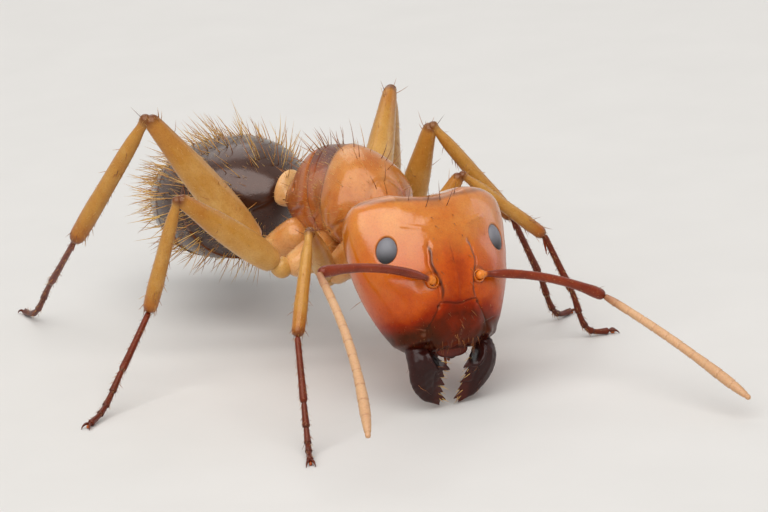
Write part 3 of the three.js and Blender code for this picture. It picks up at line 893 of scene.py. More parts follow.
def build_mouth():
    """Upper lip, tongue pad and the two pairs of jointed palps under the head."""
    pads = [mouth_pad((0, -0.42, -1.5), (0.34, 0.08, 0.17))]
    pads.append(mouth_pad((0, -0.08, -1.42), (0.2, 0.2, 0.2)))
    pads += [mouth_pad((side * 0.2, 0.02, -1.5), (0.1, 0.16, 0.2)) for side in SIDES.values()]
    for side in SIDES.values():
        pads.append(palp(side, 0.035, 6, (0.17, 0.1, -1.55), (0.23, 0.2, -1.7), (0.3, 0.34, -1.68),
                         (0.36, 0.5, -1.5), (0.4, 0.66, -1.28), (0.42, 0.76, -1.05)))
        pads.append(palp(side, 0.028, 4, (0.09, 0.06, -1.65), (0.12, 0.14, -1.8),
                         (0.14, 0.26, -1.8), (0.15, 0.38, -1.7)))
    add_piece("mouth_detail", "mouth_shell", "mouthparts", *pads)


# ------------------------------------------------------------------- feelers

SCAPE_RADIUS = curve((0, 0.088), (0.02, 0.092), (0.045, 0.06), (0.07, 0.055), (0.13, 0.075),
                     (0.4, 0.083), (0.8, 0.093), (0.95, 0.11), (1, 0.095))
BULB_RADIUS = curve((0, 0.07), (0.5, 0.088), (1, 0.07))
WHIP_RADIUS = curve((0, 0.055), (0.06, 0.072), (0.2, 0.077), (0.6, 0.084), (0.92, 0.082),
                    (1, 0.045))
WHIP_JOINTS = 11.3
WHIP_BOWS = {"right": (0.14, -0.07, 0.03), "left": (0.0, 0.0, 0.08)}


def build_feeler(name, side):
    node = f"funiculus_{name}"
    socket = HEAD.out((side * SOCKET_OUT, -SOCKET_FRONT, SOCKET_UP))
    near, tip = limb_axis(node, cad_points(node).min(axis=0) + (0, -2, -2))
    way = unit(tip - near)
    elbow = tip - way * WHIP_LENGTH
    tip = tip - way * 0.02
    shaft = unit(elbow - socket)
    above = unit(np.cross(np.cross(shaft, (0, 0, 1)), shaft))

    scape = limb(socket, elbow, SCAPE_RADIUS, 150, 32, bow=above * SCAPE_BOW)
    warm = 0.5 - 0.48 * smooth(0.075, 0.035, scape.t) + 0.12 * smooth(0.9, 1, scape.t)
    scape.mask(warm=warm, dark=0.3 * hump(scape.t - 0.075, 0.02))
    bulb = limb(socket, socket + shaft * 0.1, BULB_RADIUS, 20, 32, lead=0.06)
    bulb.mask(warm=0.0, dark=0.0)
    add_piece(f"scape_shell_{name}", "feeler_shell", f"scape_{name}", scape, bulb)

    def rings(t):
        """Where the whip's joints meet, from the start and from the end of each."""
        joint = (t * WHIP_JOINTS) % 1
        return hump(joint, 0.06), hump(joint - 1, 0.04)

    def whip_radius(t):
        return WHIP_RADIUS(t) * (1 - 0.13 * sum(rings(t)) + 0.04 * ((t * WHIP_JOINTS) % 1))

    whip = limb(elbow, tip, whip_radius, 420, 28, bow=WHIP_BOWS[name])
    warm = 0.24 + 0.6 * smooth(0.22, 0.02, whip.t) + 0.2 * whip.t
    whip.mask(warm=warm, dark=0.18 * sum(rings(whip.t)))
    add_piece(f"whip_{name}", "feeler_whip", node, whip)
    return scape, whip


# --------------------------------------------------------------------- trunk

TRUNK_CREST = curve((0, 0.1), (0.1, 0.34), (0.24, 0.82), (0.45, 1.0), (0.62, 0.92), (0.8, 0.66),
                    (0.93, 0.22), (1, -0.05))
TRUNK_KEEL = curve((0, -0.12), (0.12, -0.45), (0.3, -0.88), (0.6, -1.05), (0.85, -1.0), (1, -0.6))
TRUNK_SIDE = curve((0, 0.26), (0.1, 0.44), (0.25, 0.98), (0.36, 0.96), (0.5, 0.74), (0.75, 0.66),
                   (0.92, 0.5), (1, 0.36))
NECK_RADIUS = curve((0, 0.17), (0.5, 0.13), (1, 0.12))
CUT_LEAN = 0.06


def trunk_surface(part, turn, size):
    """Trunk whole: the neck is at the frame's origin and Y runs back to the waist."""
    across, rise = squircle(turn, 2.1)
    full = fullness(2 * part - 1, 8) * size
    top, bottom = TRUNK_CREST(part), TRUNK_KEEL(part)
    narrow = 1 - 0.22 * np.maximum(0, rise)
    x = TRUNK_WIDTH / 2 * TRUNK_SIDE(part) * across * narrow * full
    z = (top + bottom) / 2 + (top - bottom) / 2 * rise * full
    return np.stack([x, TRUNK_LENGTH * part, z], axis=-1)


def plate(surface, start, end, rows=150, sides=220, tuck=0.05, proud=0.0):
    """A body plate: the surface from start to end, with rolled rims and closed within.

    start and end are a part of the length and how far the cut leans up the sides.
    tuck is how far the front rim dips, and proud how far the rear one stands out.
    """
    rim, steps = 0.93, 10
    roll = np.sin(np.linspace(0, np.pi / 2, 9)[1:])
    growth = np.concatenate([np.linspace(0, rim, steps), rim + (1 - rim) * roll])
    shift = 0.02 * np.concatenate([np.ones(steps), 1 - roll])
    sizes = np.concatenate([growth, np.ones(rows - 2), growth[::-1]])
    places = np.concatenate([shift, np.linspace(0, 1, rows)[1:-1], 1 - shift[::-1]])
    index = np.arange(len(sizes), dtype=float)

    def at(row, turn):
        """The place between the cuts, the part of the body and the size there."""
        first, last = (cut + lean * np.sin(turn * FULL_TURN) for cut, lean in (start, end))
        q = np.interp(row, index, places)
        return q, first + (last - first) * q, np.interp(row, index, sizes)

    def shape(row, turn):
        q, part, size = at(row, turn)
        grow = 1 - tuck * smooth(0.25, 0.0, q) + proud * smooth(0.55, 1.0, q)
        return surface(part, turn, size * grow)

    skin = Skin(shape, index, sides)
    skin.q, skin.part, skin.shown = at(skin.row, skin.turn)
    return skin


def relief_front(skin, rise, q, part):
    """The pronotum's saddle, with the neck set off and its side lobes over the hips."""
    skin.mark(hump(skin.points[..., 1] - 0.42 - 0.12 * rise, 0.05), -0.022, 0.15)
    skin.mark(hump(part - 0.3, 0.06) * hump(rise + 0.35, 0.3), 0.03)
    skin.mark(hump(rise + 0.42 + 1.2 * (part - 0.3), 0.05) * smooth(0.1, 0.2, part), -0.022, 0.3)
    skin.mark(smooth(0.93, 1.0, q), dark=0.7)
    saddle = spot(np.cos(skin.turn * FULL_TURN) / 0.5, (part - 0.24) / 0.055, 1.0)
    warm = 0.46 - 0.16 * smooth(0.2, 0.9, rise) + 0.2 * smooth(0.2, 0.05, part)
    return warm + 0.2 * saddle * smooth(0.3, 0.8, rise)


def relief_middle(skin, rise, q, part):
    """Back plate, the large side plates and the slanting seams between them."""
    side_plate = hump(rise - 0.25, 0.3) * hump(q - 0.5, 0.3)
    skin.mark(side_plate, 0.03)
    skin.mark(hump(rise - 0.62 + 0.25 * (q - 0.4), 0.035), -0.01, 0.2)
    skin.mark(hump(rise + 0.12 + 0.5 * (q - 0.5), 0.035), -0.016, 0.25)
    skin.mark(hump(q - 0.8 + 0.08 * rise, 0.03) * smooth(0.35, 0.55, rise), -0.01, 0.15)
    rims = smooth(0.1, 0.02, q) + smooth(0.93, 1.0, q)
    skin.mark(rims + smooth(0.5, 0.95, rise), dark=0.5)
    return 0.6 + 0.36 * smooth(0.4, 0.9, rise) - 0.1 * side_plate


def relief_rear(skin, rise, q, part):
    """Propodeum with its breathing slits and the ring that the waist hangs in."""
    slit = np.hypot((part - 0.8) / 0.02, (rise - 0.3) / 0.085)
    skin.mark(smooth(1.0, 0.5, slit), -0.06, 0.9)
    skin.mark(hump(slit - 1.35, 0.3), 0.02, 0.3)
    skin.mark(hump(rise + 0.2 + 0.9 * (part - 0.8), 0.04) * smooth(0.63, 0.7, part), -0.02, 0.3)
    skin.mark(hump(q - 0.17, 0.035) * smooth(0.2, 0.6, rise), -0.02, 0.3)
    skin.mark(hump(part - 0.955, 0.012), 0.02, 0.3)
    skin.mark(smooth(0.9, 0.99, q), dark=0.5)
    warm = 0.58 + 0.14 * smooth(0.3, 0.9, rise) * smooth(0.8, 0.6, part)
    return warm + 0.1 * smooth(0.8, 0.95, part)


TRUNK_PLATES = {
    "prothorax": (relief_front, (0.02, 0), (0.385, CUT_LEAN), 0.0, 0.035),
    "mesothorax": (relief_middle, (0.35, CUT_LEAN), (0.615, CUT_LEAN), 0.05, 0.012),
    "propodeum": (relief_rear, (0.575, CUT_LEAN), (0.985, 0), 0.05, 0.0),
}


def build_trunk():
    neck = limb((0, 0.2, -0.01), (0, -0.34, -0.01), NECK_RADIUS, 30, 32)
    neck.swell(0.006 * np.sin(60 * neck.points[..., 1]))
    neck.mask(warm=0.75, dark=0.3).moved(TRUNK)
    plates = {}
    for node, (relief, start, end, tuck, proud) in TRUNK_PLATES.items():
        skin = plate(trunk_surface, start, end, tuck=tuck, proud=proud)
        skin.dress(relief(skin, skin.rise, skin.q, skin.part), TRUNK)
        inner = [neck] if node == "prothorax" else []
        add_piece(f"{node}_plate", "trunk_shell", node, skin, *inner)
        plates[node] = skin
    return plates


# ---------------------------------------------------------------------- rear

SCALE_CREST = curve((0, 0.1), (0.25, 0.34), (0.42, 0.86), (0.5, 0.98), (0.6, 0.84), (0.72, 0.42),
                    (1, 0.08))
SCALE_SIDE = curve((0, 0.5), (0.3, 0.7), (0.5, 1), (0.6, 0.98), (0.75, 0.7), (1, 0.45))
GASTER_SWELL = curve((0, 0.66), (0.15, 0.9), (0.4, 1), (0.65, 0.9), (0.85, 0.66), (1, 0.42))


def waist_shape(part, turn):
    """Waist scale: a low stalk with an upright rounded scale on it."""
    across, rise = circle(turn)
    full = fullness(2 * part - 1, 5)
    high = WAIST_HEIGHT * np.where(rise > 0, 0.62 * SCALE_CREST(part), 0.26)
    x = WAIST_WIDTH / 2 * SCALE_SIDE(part) * across * full
    return np.stack([x, WAIST_LENGTH * part, high * rise * full], axis=-1)


def build_waist():
    rows = evenly(lambda p: (WAIST_LENGTH * p, 0.6 * fullness(2 * p - 1, 5)), 0, 1, 150)
    skin = Skin(waist_shape, rows, 140)
    pore = np.hypot((skin.row - 0.3) / 0.035, (skin.rise + 0.1) / 0.09)
    skin.mark(hump(pore - 1.3, 0.3), 0.012)
    skin.mark(smooth(1, 0.5, pore), -0.03)
    skin.mark(smooth(1, 0.6, pore), dark=0.7)
    skin.mark(smooth(0.12, 0.0, skin.row), dark=0.4)
    skin.mark(smooth(0.85, 1, skin.row), dark=0.5)
    skin.dress(0.14 - 0.12 * smooth(0.2, 0.9, skin.rise), WAIST)
    add_piece("waist_scale", "trunk_shell", "petiole", skin)
    return skin


def gaster_surface(part, turn, size):
    """Gaster whole: an egg with its blunt end forward, along +Y."""
    across, rise = GASTER_SWELL(part) * fullness(2 * part - 1, 2.3) * size * circle(turn)
    z = GASTER_HEIGHT / 2 * rise - GASTER_SAG * np.sin(np.pi * part)
    return np.stack([GASTER_WIDTH / 2 * across, GASTER_LENGTH * part, z], axis=-1)


def build_gaster():
    edges = [0.004, *GASTER_RINGS, 0.997]
    skins = []
    for k, (first, last) in enumerate(zip(edges, edges[1:])):
        node = "gaster_tip" if last == edges[-1] else f"gaster_{k + 1}"
        start, tuck = (first - 0.05, 0.075) if k else (first, 0.0)
        skin = plate(gaster_surface, (start, 0), (last, 0.006), 130, 260, tuck)
        under = smooth(-0.28, -0.36, skin.rise)
        skin.mark(smooth(0.9, 0.97, skin.q), 0.012)
        skin.mark(under * smooth(0.0, 0.1, skin.part), -0.035)
        skin.mark(band(skin.q, 0.6, 0.85, 0.92, 0.96), dark=0.3)
        pale_rim = smooth(0.95, 0.985, skin.q) * (node != "gaster_tip")
        skin.dress(0.72 - 0.5 * pale_rim - 0.1 * under, GASTER)
        add_piece(f"{node}_plate", "gaster_shell", node, skin)
        skins.append(skin)
    return skins


# ---------------------------------------------------------------------- legs

COXA_RADIUS = curve((0, 0.34), (0.3, 0.36), (0.6, 0.32), (0.9, 0.24), (1, 0.2))
HUB_RADIUS = curve((0, 0.185), (0.35, 0.205), (0.75, 0.2), (1, 0.19))
FEMUR_RADIUS = curve((0, 0.195), (0.05, 0.21), (0.2, 0.25), (0.4, 0.25), (0.6, 0.22),
                     (0.8, 0.165), (0.93, 0.13), (1, 0.1))
TIBIA_RADIUS = curve((0, 0.07), (0.03, 0.1), (0.07, 0.085), (0.2, 0.115), (0.55, 0.14),
                     (0.88, 0.145), (0.96, 0.13), (1, 0.09))
CLAW_RADIUS = curve((0, 0.032), (0.5, 0.024), (1, 0.006))
SOLE_RADIUS = curve((0, 0.035), (1, 0.03))
SPUR_RADIUS = curve((0, 0.03), (0.4, 0.026), (1, 0.006))
SPUR_LENGTH = {"front": 0.42, "middle": 0.3, "hind": 0.3}
TARSUS_JOINTS = [0.0, 0.5, 0.67, 0.79, 0.87, 1.0]
LEG_GIRTH = {"front": 0.88, "middle": 1.02, "hind": 1.2}
HUB_LENGTH, FOOT_RADIUS, FOOT_UP = 0.36, 0.075, 0.072
LEG_PARTS = ["coxa", "trochanter", "femur", "tibia", "tarsus"]
LEG_SLOTS = ["trunk_shell", "leg_shell", "leg_shell", "leg_shell", "foot_shell"]


def leg_joints(name):
    """Hip, hub, knee, ankle and foot tip on the CAD limbs' axes."""
    nodes = [f"{part}_{name}" for part in LEG_PARTS]
    foot = cad_points(nodes[-1])
    toe = foot[foot[:, 2] < 0.01].mean(axis=0)
    targets = [*(cad_points(node).mean(axis=0) for node in nodes[1:]), toe]
    ends = [limb_axis(node, target) for node, target in zip(nodes, targets)]
    return *ends[0], ends[2][1], ends[3][1], toe


def tarsus_radius(t):
    """Five foot joints, each widest at its far end."""
    out = np.zeros(np.shape(t))
    for first, last in zip(TARSUS_JOINTS, TARSUS_JOINTS[1:]):
        u = (t - first) / (last - first)
        piece = 0.72 + 0.3 * u**2 - 0.3 * smooth(0.94, 1.0, u) - 0.15 * smooth(0.08, 0.0, u)
        out = np.where((u >= 0) & (u <= 1), piece, out)
    return FOOT_RADIUS * np.maximum(out, 0.4) * (1.1 - 0.15 * np.asarray(t))


def claw(root, forward, sideways):
    """A hooked claw: out along the foot, then down to the floor."""
    steps = [(0, 0, 0), (0.09, 0.05, 0.02), (0.17, 0.08, -0.027), (0.19, 0.085, -0.06)]
    knots = [root + forward * a + sideways * b + (0, 0, up) for a, b, up in steps]
    return tube(bent(*knots), CLAW_RADIUS, 20, 10).mask(warm=0.7, dark=0.3)


def build_leg(name):
    pair = name.split("_")[0]
    hip, hub, knee, ankle, toe = leg_joints(name)
    shin = unit(ankle - knee)
    hub_end = hub + unit(knee - hub) * HUB_LENGTH

    def grown(radius):
        return lambda t: radius(t) * LEG_GIRTH[pair]

    coxa = limb(hip, hub, COXA_RADIUS, 50, 40, lead=0.25)
    dark = 0.12 * smooth(0.95, 1.02, coxa.t)
    coxa.mask(warm=0.26 - 0.18 * smooth(0.2, 0.8, coxa.t), dark=dark)
    trochanter = limb(hub, hub_end, grown(HUB_RADIUS), 30, 32, lead=0.1)
    dark = 0.06 * smooth(0.85, 1.05, trochanter.t) + 0.08 * smooth(0.1, -0.1, trochanter.t)
    trochanter.mask(warm=0.2, dark=dark)
    femur = limb(hub_end, knee, grown(FEMUR_RADIUS), 90, 36, lead=0.1, flat=1.12)
    dark = 0.85 * smooth(0.93, 0.985, femur.t)
    femur.mask(warm=0.2 + 0.26 * smooth(0.3, 0.95, femur.t), dark=dark)
    tibia = limb(knee, ankle, grown(TIBIA_RADIUS), 90, 30, lead=0.03)
    dark = 0.85 * smooth(0.07, 0.01, tibia.t) + 0.75 * smooth(0.9, 1.0, tibia.t)
    tibia.mask(warm=0.34 + 0.26 * smooth(0.7, 0.95, tibia.t), dark=dark)

    level = unit((toe - ankle) * (1, 1, 0))
    sideways = np.cross(level, (0, 0, 1))
    rest = toe * (1, 1, 0) + (0, 0, FOOT_UP)
    last = rest - level * 0.34 + (0, 0, 0.05)
    middle = ankle + (last - ankle) * 0.55 - (0, 0, 0.04)
    way = unit(middle - ankle)
    tarsus = tube(bent(ankle - way * 0.02, middle, last, rest), tarsus_radius, 190, 22)
    rings = sum(hump(tarsus.run - joint, 0.012) for joint in TARSUS_JOINTS[1:-1])
    tarsus.mask(warm=0.62 + 0.2 * tarsus.run, dark=0.5 * rings)
    spur_start = ankle - shin * 0.04
    spur_way = unit(way + np.cross(shin, sideways) * 0.35)
    spur = limb(spur_start, spur_start + spur_way * SPUR_LENGTH[pair], SPUR_RADIUS, 30, 10)
    sole_ends = (rest + level * 0.03 - (0, 0, 0.02), rest + level * 0.12 - (0, 0, 0.04))
    sole = limb(*sole_ends, SOLE_RADIUS, 12, 14)
    foot = [spur.mask(warm=0.45, dark=0.1), sole.mask(warm=0.2, dark=0.0)]
    foot += [claw(rest, level, sideways * side) for side in SIDES.values()]

    skins = [[coxa], [trochanter], [femur], [tibia], [tarsus, *foot]]
    for part, slot, group in zip(LEG_PARTS, LEG_SLOTS, skins):
        piece = part.replace("trochanter", "hub")
        add_piece(f"{piece}_{name}_shell", slot, f"{part}_{name}", *group)
    return {part: group[0] for part, group in zip(LEG_PARTS, skins)}


# ----------------------------------------------------------------------- hair

HAIR_SIDES = 3
HAIR_UNEVEN, HAIR_STRAY, HAIR_SHADES = 0.25, 0.18, 0.15
HAIR_CURL, HAIR_TAPER, ROOT_DEPTH = 0.28, 0.75, 0.012
HAIR_PATCH = 0.003  # the size of a hair's patch of the UV map
# Places of single hairs on the head, across and up.
CROWN_HAIRS = [(-0.25, 1.19), (0.12, 1.29), (0.18, 1.17), (0.48, 1.38), (-0.52, 1.36), (-0.1, 1.33)]
BROW_HAIRS = [(0.31, 0.6), (0.24, 1.0), (0.34, 0.2), (0.3, -0.05), (0.26, -0.3), (0.2, 0.82)]
TRUNK_HAIRS = {"prothorax": 12, "mesothorax": 14, "propodeum": 16}
GASTER_HAIRS = [130, 140, 110, 70, 50]
# Part, count, length, lean and tint.
LEG_DOWN = [("coxa", 150, 0.07, 0.84, 0.2), ("femur", 420, 0.075, 0.84, 0.2),
            ("tibia", 380, 0.075, 0.84, 0.3), ("tarsus", 260, 0.07, 0.6, 0.5)]


def roots_at(skin, row, column, across=0.0):
    """Points, normals and UVs of a skin's places, moved across by that share of a step."""
    points, (rows, sides) = skin.points, skin.row.shape
    step = np.roll(points, -1, axis=1)[row, column] - points[row, column]
    spots = points[row, column] + step * np.reshape(across, (-1, 1))
    uv = np.stack([(column + across) / sides, row / (rows - 1)], axis=-1)
    return spots, skin.normals()[row, column], uv


def random_roots(skin, count, weight=1.0):
    """Random places on a skin, picked by area and weight."""
    beside = np.roll(skin.points, -1, axis=1) - skin.points
    area = np.linalg.norm(np.cross(beside, np.gradient(skin.points, axis=0)), axis=2) * weight
    area[[0, 1, -2, -1]] = 0
    pick = RNG.choice(area.size, size=count, p=(area / area.sum()).ravel())
    row, column = np.unravel_index(pick, area.shape)
    return roots_at(skin, row, column, RNG.random(count))


def roots_near(skin, distances):
    """The skin's places where each array of distances is smallest."""
    pick = np.array([int(np.argmin(distance)) for distance in distances])
    return roots_at(skin, *np.unravel_index(pick, skin.row.shape))


def hairs(roots, length, radius, lean, lie, tint, steps=4):
    """Closed tapering hairs from their roots, leaning and then bending towards lie."""
    spots, normals, uv = roots
    count = len(spots)
    lie = np.broadcast_to(np.asarray(lie, float), (count, 3))
    long = length * (1 + HAIR_UNEVEN * RNG.standard_normal((count, 1)).clip(-2, 2))
    stray = HAIR_STRAY * RNG.standard_normal((count, 3))
    lie = unit(lie - (lie * normals).sum(axis=1, keepdims=True) * normals)
    start = unit(normals * (1 - lean) + lie * lean + stray * (0.3 + lean))
    across = unit(np.cross(start, normals + 0.3 * stray + 1e-6))
    above = np.cross(across, start)
    rings = []
    for t in np.arange(steps) / steps:
        centre = spots + start * long * t + lie * long * HAIR_CURL * t**2 - normals * ROOT_DEPTH
        size = radius * (1 - HAIR_TAPER * t**1.5)
        for cos, sin in zip(*circle(np.arange(HAIR_SIDES) / HAIR_SIDES)):
            rings.append(centre + (cos * across + sin * above) * size)
    tip = spots + start * long + lie * long * HAIR_CURL
    a = np.arange(steps * HAIR_SIDES)
    b = a + 1 - HAIR_SIDES * (a % HAIR_SIDES == HAIR_SIDES - 1)
    quads = np.stack([a, b, b + HAIR_SIDES, a + HAIR_SIDES], axis=-1)[:-HAIR_SIDES]
    cone = np.stack([a, b, np.full(len(a), len(a))], axis=-1)[-HAIR_SIDES:]
    return np.stack([*rings, tip], axis=1), [quads, np.vstack([(2, 1, 0), cone])], uv, tint


def strewn(skin, count, weight, length, radius, lean, lie, tint, steps=4):
    """Hairs at random places on a skin, thick where the weight is high."""
    return hairs(random_roots(skin, count, weight), length, radius, lean, lie, tint, steps)


def down(skin, count, weight, length, radius, lie, tint):
    """Short fine hairs that lie along the shell."""
    return strewn(skin, count, weight, length, radius, 0.86, lie, tint, 2)


def add_coat(name, sets):
    """Joins hair sets; each hair is one small patch of the UV map at its root's place."""
    lumps = []
    for (points, faces, uv, tint), cell, cell_size in uv_cells(sets):
        count, size = points.shape[:2]
        ring, corner = np.divmod(np.arange(size), HAIR_SIDES)
        patch = np.stack([corner / HAIR_SIDES, ring / (size // HAIR_SIDES)], axis=-1) - 0.5
        root = cell + (0.004 + 0.99 * uv) * cell_size
        spread = root[:, None, :] + HAIR_PATCH * patch
        base = np.arange(count)[:, None, None] * size
        placed = []
        for group in faces:
            corners = group.shape[1]
            uv = spread[:, group].reshape(-1, corners, 2)
            placed.append(((base + group).reshape(-1, corners), uv))
        shade = np.clip(tint + HAIR_SHADES * RNG.standard_normal(count), 0, 1)
        lumps.append((points.reshape(-1, 3), placed, {"tint": np.repeat(shade, size)}))
    make_object(f"coat_{name}", "hair", lumps)


def head_coat(head):
    local = HEAD.back(head.points)
    x, y, up = np.moveaxis(local, -1, 0)
    wide, hidden = np.abs(x), 9.0 * (y > -0.1)
    ahead, fallen, raised = (HEAD.turn @ way for way in ((0, -1, -0.2), (0, 0, -1), (0.5, 0.3, 1)))

    def at(spots):
        return roots_near(head, [np.hypot(x - a, up - z) + hidden for a, z in spots])

    shield = smooth(CLYPEUS_TOP, CLYPEUS_TOP - 0.1, up) * smooth(0.5, 0.3, wide) * (hidden == 0)
    throat = (y > 0.4) * smooth(1.2, 0.8, up)
    bare = smooth(0.02, 0.12, np.abs(wide - CARINA(up)))
    for side in SIDES.values():
        bare = bare * smooth(1.0, 1.24, eye_distance(local, side))
    brow = at([(side * a, z) for a, z in BROW_HAIRS for side in SIDES.values()])
    rim = at([(a, CLYPEUS_RIM - 0.01) for a in np.linspace(-0.4, 0.4, 19)])
    lip = at([(a, CLYPEUS_RIM + 0.1) for a in np.linspace(-0.44, 0.44, 9)])
    return [
        hairs(at(CROWN_HAIRS), 0.27, 0.0085, 0.25, raised, 0.85),
        hairs(brow, 0.13, 0.0065, 0.45, ahead, 0.8),
        hairs(rim, 0.15, 0.007, 0.9, fallen, 1.0),
        hairs(lip, 0.15, 0.006, 0.6, fallen, 0.9),
        strewn(head, 12, shield, 0.13, 0.0055, 0.3, fallen, 0.7),
        strewn(head, 26, throat, 0.2, 0.0075, 0.3, ahead, 0.5),
        down(head, 1500, bare, 0.05, 0.003, fallen, 0.5),
    ]


def jaw_coat(jaws):
    sets = []
    for jaw, side in zip(jaws, SIDES.values()):
        x, y, up = np.moveaxis(HEAD.back(jaw.points), -1, 0)
        wide, part = side * x, jaw_part(up)
        inward = HEAD.turn @ (-side, -0.15, -0.75)
        behind = 9 * (y > -JAW_FRONT(part) - 0.02)
        teeth = [
            np.hypot(wide - JAW_INNER(part) - shift, 0.8 * (part - start)) + behind
            for start in [*TOOTH_STARTS[:-1], 0.9]
            for shift in (0.0, 0.07)
        ]
        outer = smooth(0.3, 0.6, wide) * smooth(0.9, 0.7, part) * (part > 0.08)
        sets += [
            hairs(roots_near(jaw, teeth), 0.15, 0.0085, 0.6, inward, 0.05),
            strewn(jaw, 9, outer, 0.12, 0.005, 0.5, inward, 0.8),
            down(jaw, 60, outer, 0.05, 0.003, HEAD.turn @ (0, 0, -1), 0.9),
        ]
    return sets


def feeler_coat(feelers):
    sets = []
    for scape, whip in feelers:
        tip = smooth(0.9, 0.97, scape.run)
        sets += [
            strewn(scape, 420, 1.0, 0.045, 0.0032, 0.72, scape.way(), 0.35, 2),
            strewn(whip, 900, 1.0, 0.034, 0.0032, 0.72, whip.way(), 0.35, 2),
            strewn(scape, 4, tip, 0.12, 0.006, 0.4, scape.way(), 0.6),
        ]
    return sets


def trunk_coat(plates, waist):
    back = TRUNK.turn @ (0, 1, 0.1)
    sets = []
    for node, count in TRUNK_HAIRS.items():
        skin = plates[node]
        shown = (skin.shown > 0.97) * smooth(0.05, 0.15, skin.q)
        crest = smooth(0.75, 0.97, skin.rise) * shown
        flank = band(skin.rise, -0.3, 0.1, 0.6, 0.9) * shown
        sets += [
            strewn(skin, count, crest, 0.36, 0.0095, 0.2, back, 0.55),
            strewn(skin, 7, flank, 0.2, 0.0075, 0.35, back, 0.5),
            down(skin, 900, shown, 0.085, 0.0038, back, 0.2),
        ]
    crest = smooth(0.6, 0.95, waist.rise) * hump(waist.row - 0.5, 0.12)
    sets.append(strewn(waist, 9, crest, 0.3, 0.0085, 0.2, back, 0.5))
    return [*sets, down(waist, 260, 1.0, 0.07, 0.0038, back, 0.2)]


def gaster_coat(plates):
    back = GASTER.turn @ (0, 1, 0)
    sets = []
    for skin, count in zip(plates, GASTER_HAIRS):
        shown = (skin.shown > 0.97) * smooth(0.1, 0.2, skin.q)
        erect = shown * (0.45 + 0.55 * smooth(-0.6, 0.3, skin.rise))
        rim = shown * hump(skin.q - 0.9, 0.05)
        sets += [
            strewn(skin, count, erect, 0.52, 0.0105, 0.42, back, 0.3),
            strewn(skin, count // 2, rim, 0.44, 0.0095, 0.55, back, 0.25),
            down(skin, 6 * count, shown, 0.13, 0.0042, back, 0.25),
        ]
    tip = smooth(0.985, 1.0, plates[-1].part)
    return [*sets, strewn(plates[-1], 24, tip, 0.12, 0.006, 0.2, back, 0.3)]


def clear_of_floor(skin):
    """A weight that keeps a foot's hairs off the floor under it."""
    return smooth(0.1, 0.17, skin.points[..., 2])


def leg_coat(legs):
    sets = []
    for leg in legs:
        for part, count, length, lean, tint in LEG_DOWN:
            skin = leg[part]
            clear = clear_of_floor(skin)
            sets.append(strewn(skin, count, clear, length, 0.0042, lean, skin.way(), tint, 2))
        coxa, femur, tibia, tarsus = (leg[part] for part, *_ in LEG_DOWN)
        thigh, shin = femur.way(), tibia.way()
        knee = band(femur.run, 0.86, 0.93, 0.97, 0.995) * (femur.normals()[..., 2] > 0)
        sparse = band(femur.run, 0.1, 0.2, 0.7, 0.9)
        under = smooth(0.15, 0.3, tibia.run) * smooth(-0.2, -0.6, tibia.normals()[..., 2])
        ring = band(tibia.run, 0.9, 0.94, 0.97, 1.0)
        stiff = smooth(-0.1, -0.5, tarsus.normals()[..., 2]) * clear_of_floor(tarsus)
        sets += [
            strewn(femur, 5, knee, 0.24, 0.008, 0.35, thigh, 0.55),
            strewn(femur, 10, sparse, 0.19, 0.007, 0.35, thigh, 0.45),
            strewn(tibia, 22, under, 0.13, 0.0085, 0.62, shin, 0.6),
            strewn(tibia, 8, ring, 0.12, 0.0085, 0.55, shin, 0.65),
            strewn(tibia, 8, smooth(0.1, 0.3, tibia.run), 0.17, 0.007, 0.4, shin, 0.5),
            strewn(coxa, 7, 1.0, 0.2, 0.0075, 0.3, coxa.way(), 0.5),
            strewn(tarsus, 34, stiff, 0.085, 0.0065, 0.6, tarsus.way(), 0.6),
        ]
    return sets


# --------------------------------------------------------------------- whole

head = build_head()
for side_name, side_sign in SIDES.items():
    build_eye(side_name, side_sign)
jaws = [build_jaw(*item) for item in SIDES.items()]
build_mouth()
feelers = [build_feeler(*item) for item in SIDES.items()]
trunk_plates = build_trunk()
waist = build_waist()
gaster_plates = build_gaster()
legs = [build_leg(name) for name in LEGS]
coats = {
    "head": head_coat(head),
    "jaws": jaw_coat(jaws),
    "feelers": feeler_coat(feelers),
    "trunk": trunk_coat(trunk_plates, waist),
    "gaster": gaster_coat(gaster_plates),
    "legs": leg_coat(legs),
}
for coat_name, hair_sets in coats.items():
    add_coat(coat_name, hair_sets)


# --------------------------------------------------------------------- stage

CAMERA_AZIMUTH, CAMERA_ELEVATION, CAMERA_ROLL = -28, 17, -4
CAMERA_DISTANCE, CAMERA_LENS, SENSOR = 80, 197.6, 36
HEAD_SEEN = (0.88, -0.285)  # where the head is, right and up of the middle of the view
LAMP_DISTANCE, LAMPS_MEET = 360, (0, -1, 1.5)
FLOOR_HALF = 2500


def aim(name, data, middle, distance, azimuth, elevation, roll=0, seen=(0, 0)):
    """Puts a camera or lamp that far off, with middle right and up of where it looks."""
    a, e, r = (math.radians(v) for v in (azimuth, elevation, roll))
    back = np.array([math.sin(a) * math.cos(e), -math.cos(a) * math.cos(e), math.sin(e)])
    level = np.array([math.cos(a), math.sin(a), 0])
    upright = np.cross(back, level)
    right = math.cos(r) * level + math.sin(r) * upright
    up = -math.sin(r) * level + math.cos(r) * upright
    spot = middle + back * distance - right * seen[0] - up * seen[1]
    turn = Matrix(np.stack([right, up, back], axis=1).tolist()).to_4x4()
    thing = into_scene(name, data)
    thing.matrix_world = Matrix.Translation((spot * MM).tolist()) @ turn
    return thing


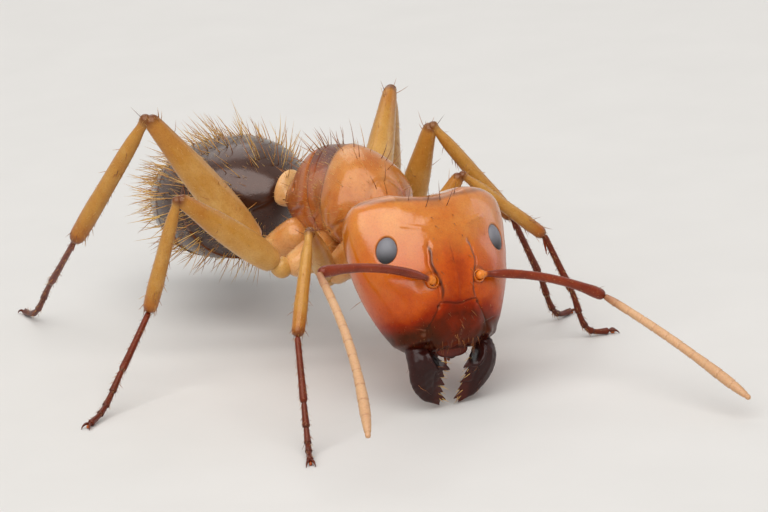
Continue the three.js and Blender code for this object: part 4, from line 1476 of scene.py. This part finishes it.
def add_camera():
    data = bpy.data.cameras.new("camera")
    data.sensor_width, data.lens = SENSOR, CAMERA_LENS
    data.clip_start, data.clip_end = 0.002, 5
    view = (CAMERA_DISTANCE, CAMERA_AZIMUTH, CAMERA_ELEVATION, CAMERA_ROLL, HEAD_SEEN)
    bpy.context.scene.camera = aim("camera", data, HEAD.origin, *view)


def add_lamp(name, azimuth, elevation, size, watts, tint="ffffff"):
    """A soft rectangular lamp that looks at the ant's middle."""
    data = bpy.data.lights.new(name, "AREA")
    data.shape, data.energy = "RECTANGLE", watts
    data.size, data.size_y = size[0] * MM, size[1] * MM
    data.color = colour(tint)[:3]
    aim(name, data, np.array(LAMPS_MEET), LAMP_DISTANCE, azimuth, elevation)


def add_floor():
    mesh = bpy.data.meshes.new("floor")
    half = FLOOR_HALF * MM
    corners = [(-half, -half, 0), (half, -half, 0), (half, half, 0), (-half, half, 0)]
    mesh.from_pydata(corners, [], [(0, 1, 2, 3)])
    nodes = surface("floor")
    tone = nodes.drift(2.0, 0.3, 0.7)
    nodes.bump((nodes.noise(0.3), 0.05, 0.01))
    mesh.materials.append(nodes.paint(nodes.ramp(tone, [(0.0, "d8d5d0"), (1.0, "dedbd6")]), 0.7))
    floor = into_scene("floor", mesh)


def add_world():
    """Even room light, and a pale backdrop where a camera or a reflection sees it."""
    world = bpy.data.worlds.new("room")
    nodes = Nodes(world)
    bpy.context.scene.world = world
    light = nodes.set(nodes.tree.nodes["Background"], Color="f4f6fa", Strength=0.15)
    seen = nodes.add("Background", Color="d9d7d3", Strength=1.0)
    rays = nodes.add("LightPath").outputs
    mix = nodes.add("MixShader")
    seen_by = rays["Is Camera Ray"]
    for kind in ("Is Glossy Ray", "Is Transmission Ray"):
        seen_by = nodes.maths("MAXIMUM", seen_by, rays[kind])
    for socket, source in zip(mix.inputs, (seen_by, light.outputs[0], seen.outputs[0])):
        nodes.feed(socket, source)
    nodes.set(nodes.tree.nodes["World Output"], Surface=mix.outputs[0])


add_camera()
add_lamp("softbox", -40, 54, (520, 448), 2.09)
add_lamp("rear_panel", 165, 52, (240, 240), 0.24)
add_lamp("side_panel", 85, 20, (120, 240), 0.1, "e6e4ff")
add_floor()
add_world()
bpy.context.scene.view_settings.view_transform = "Standard"
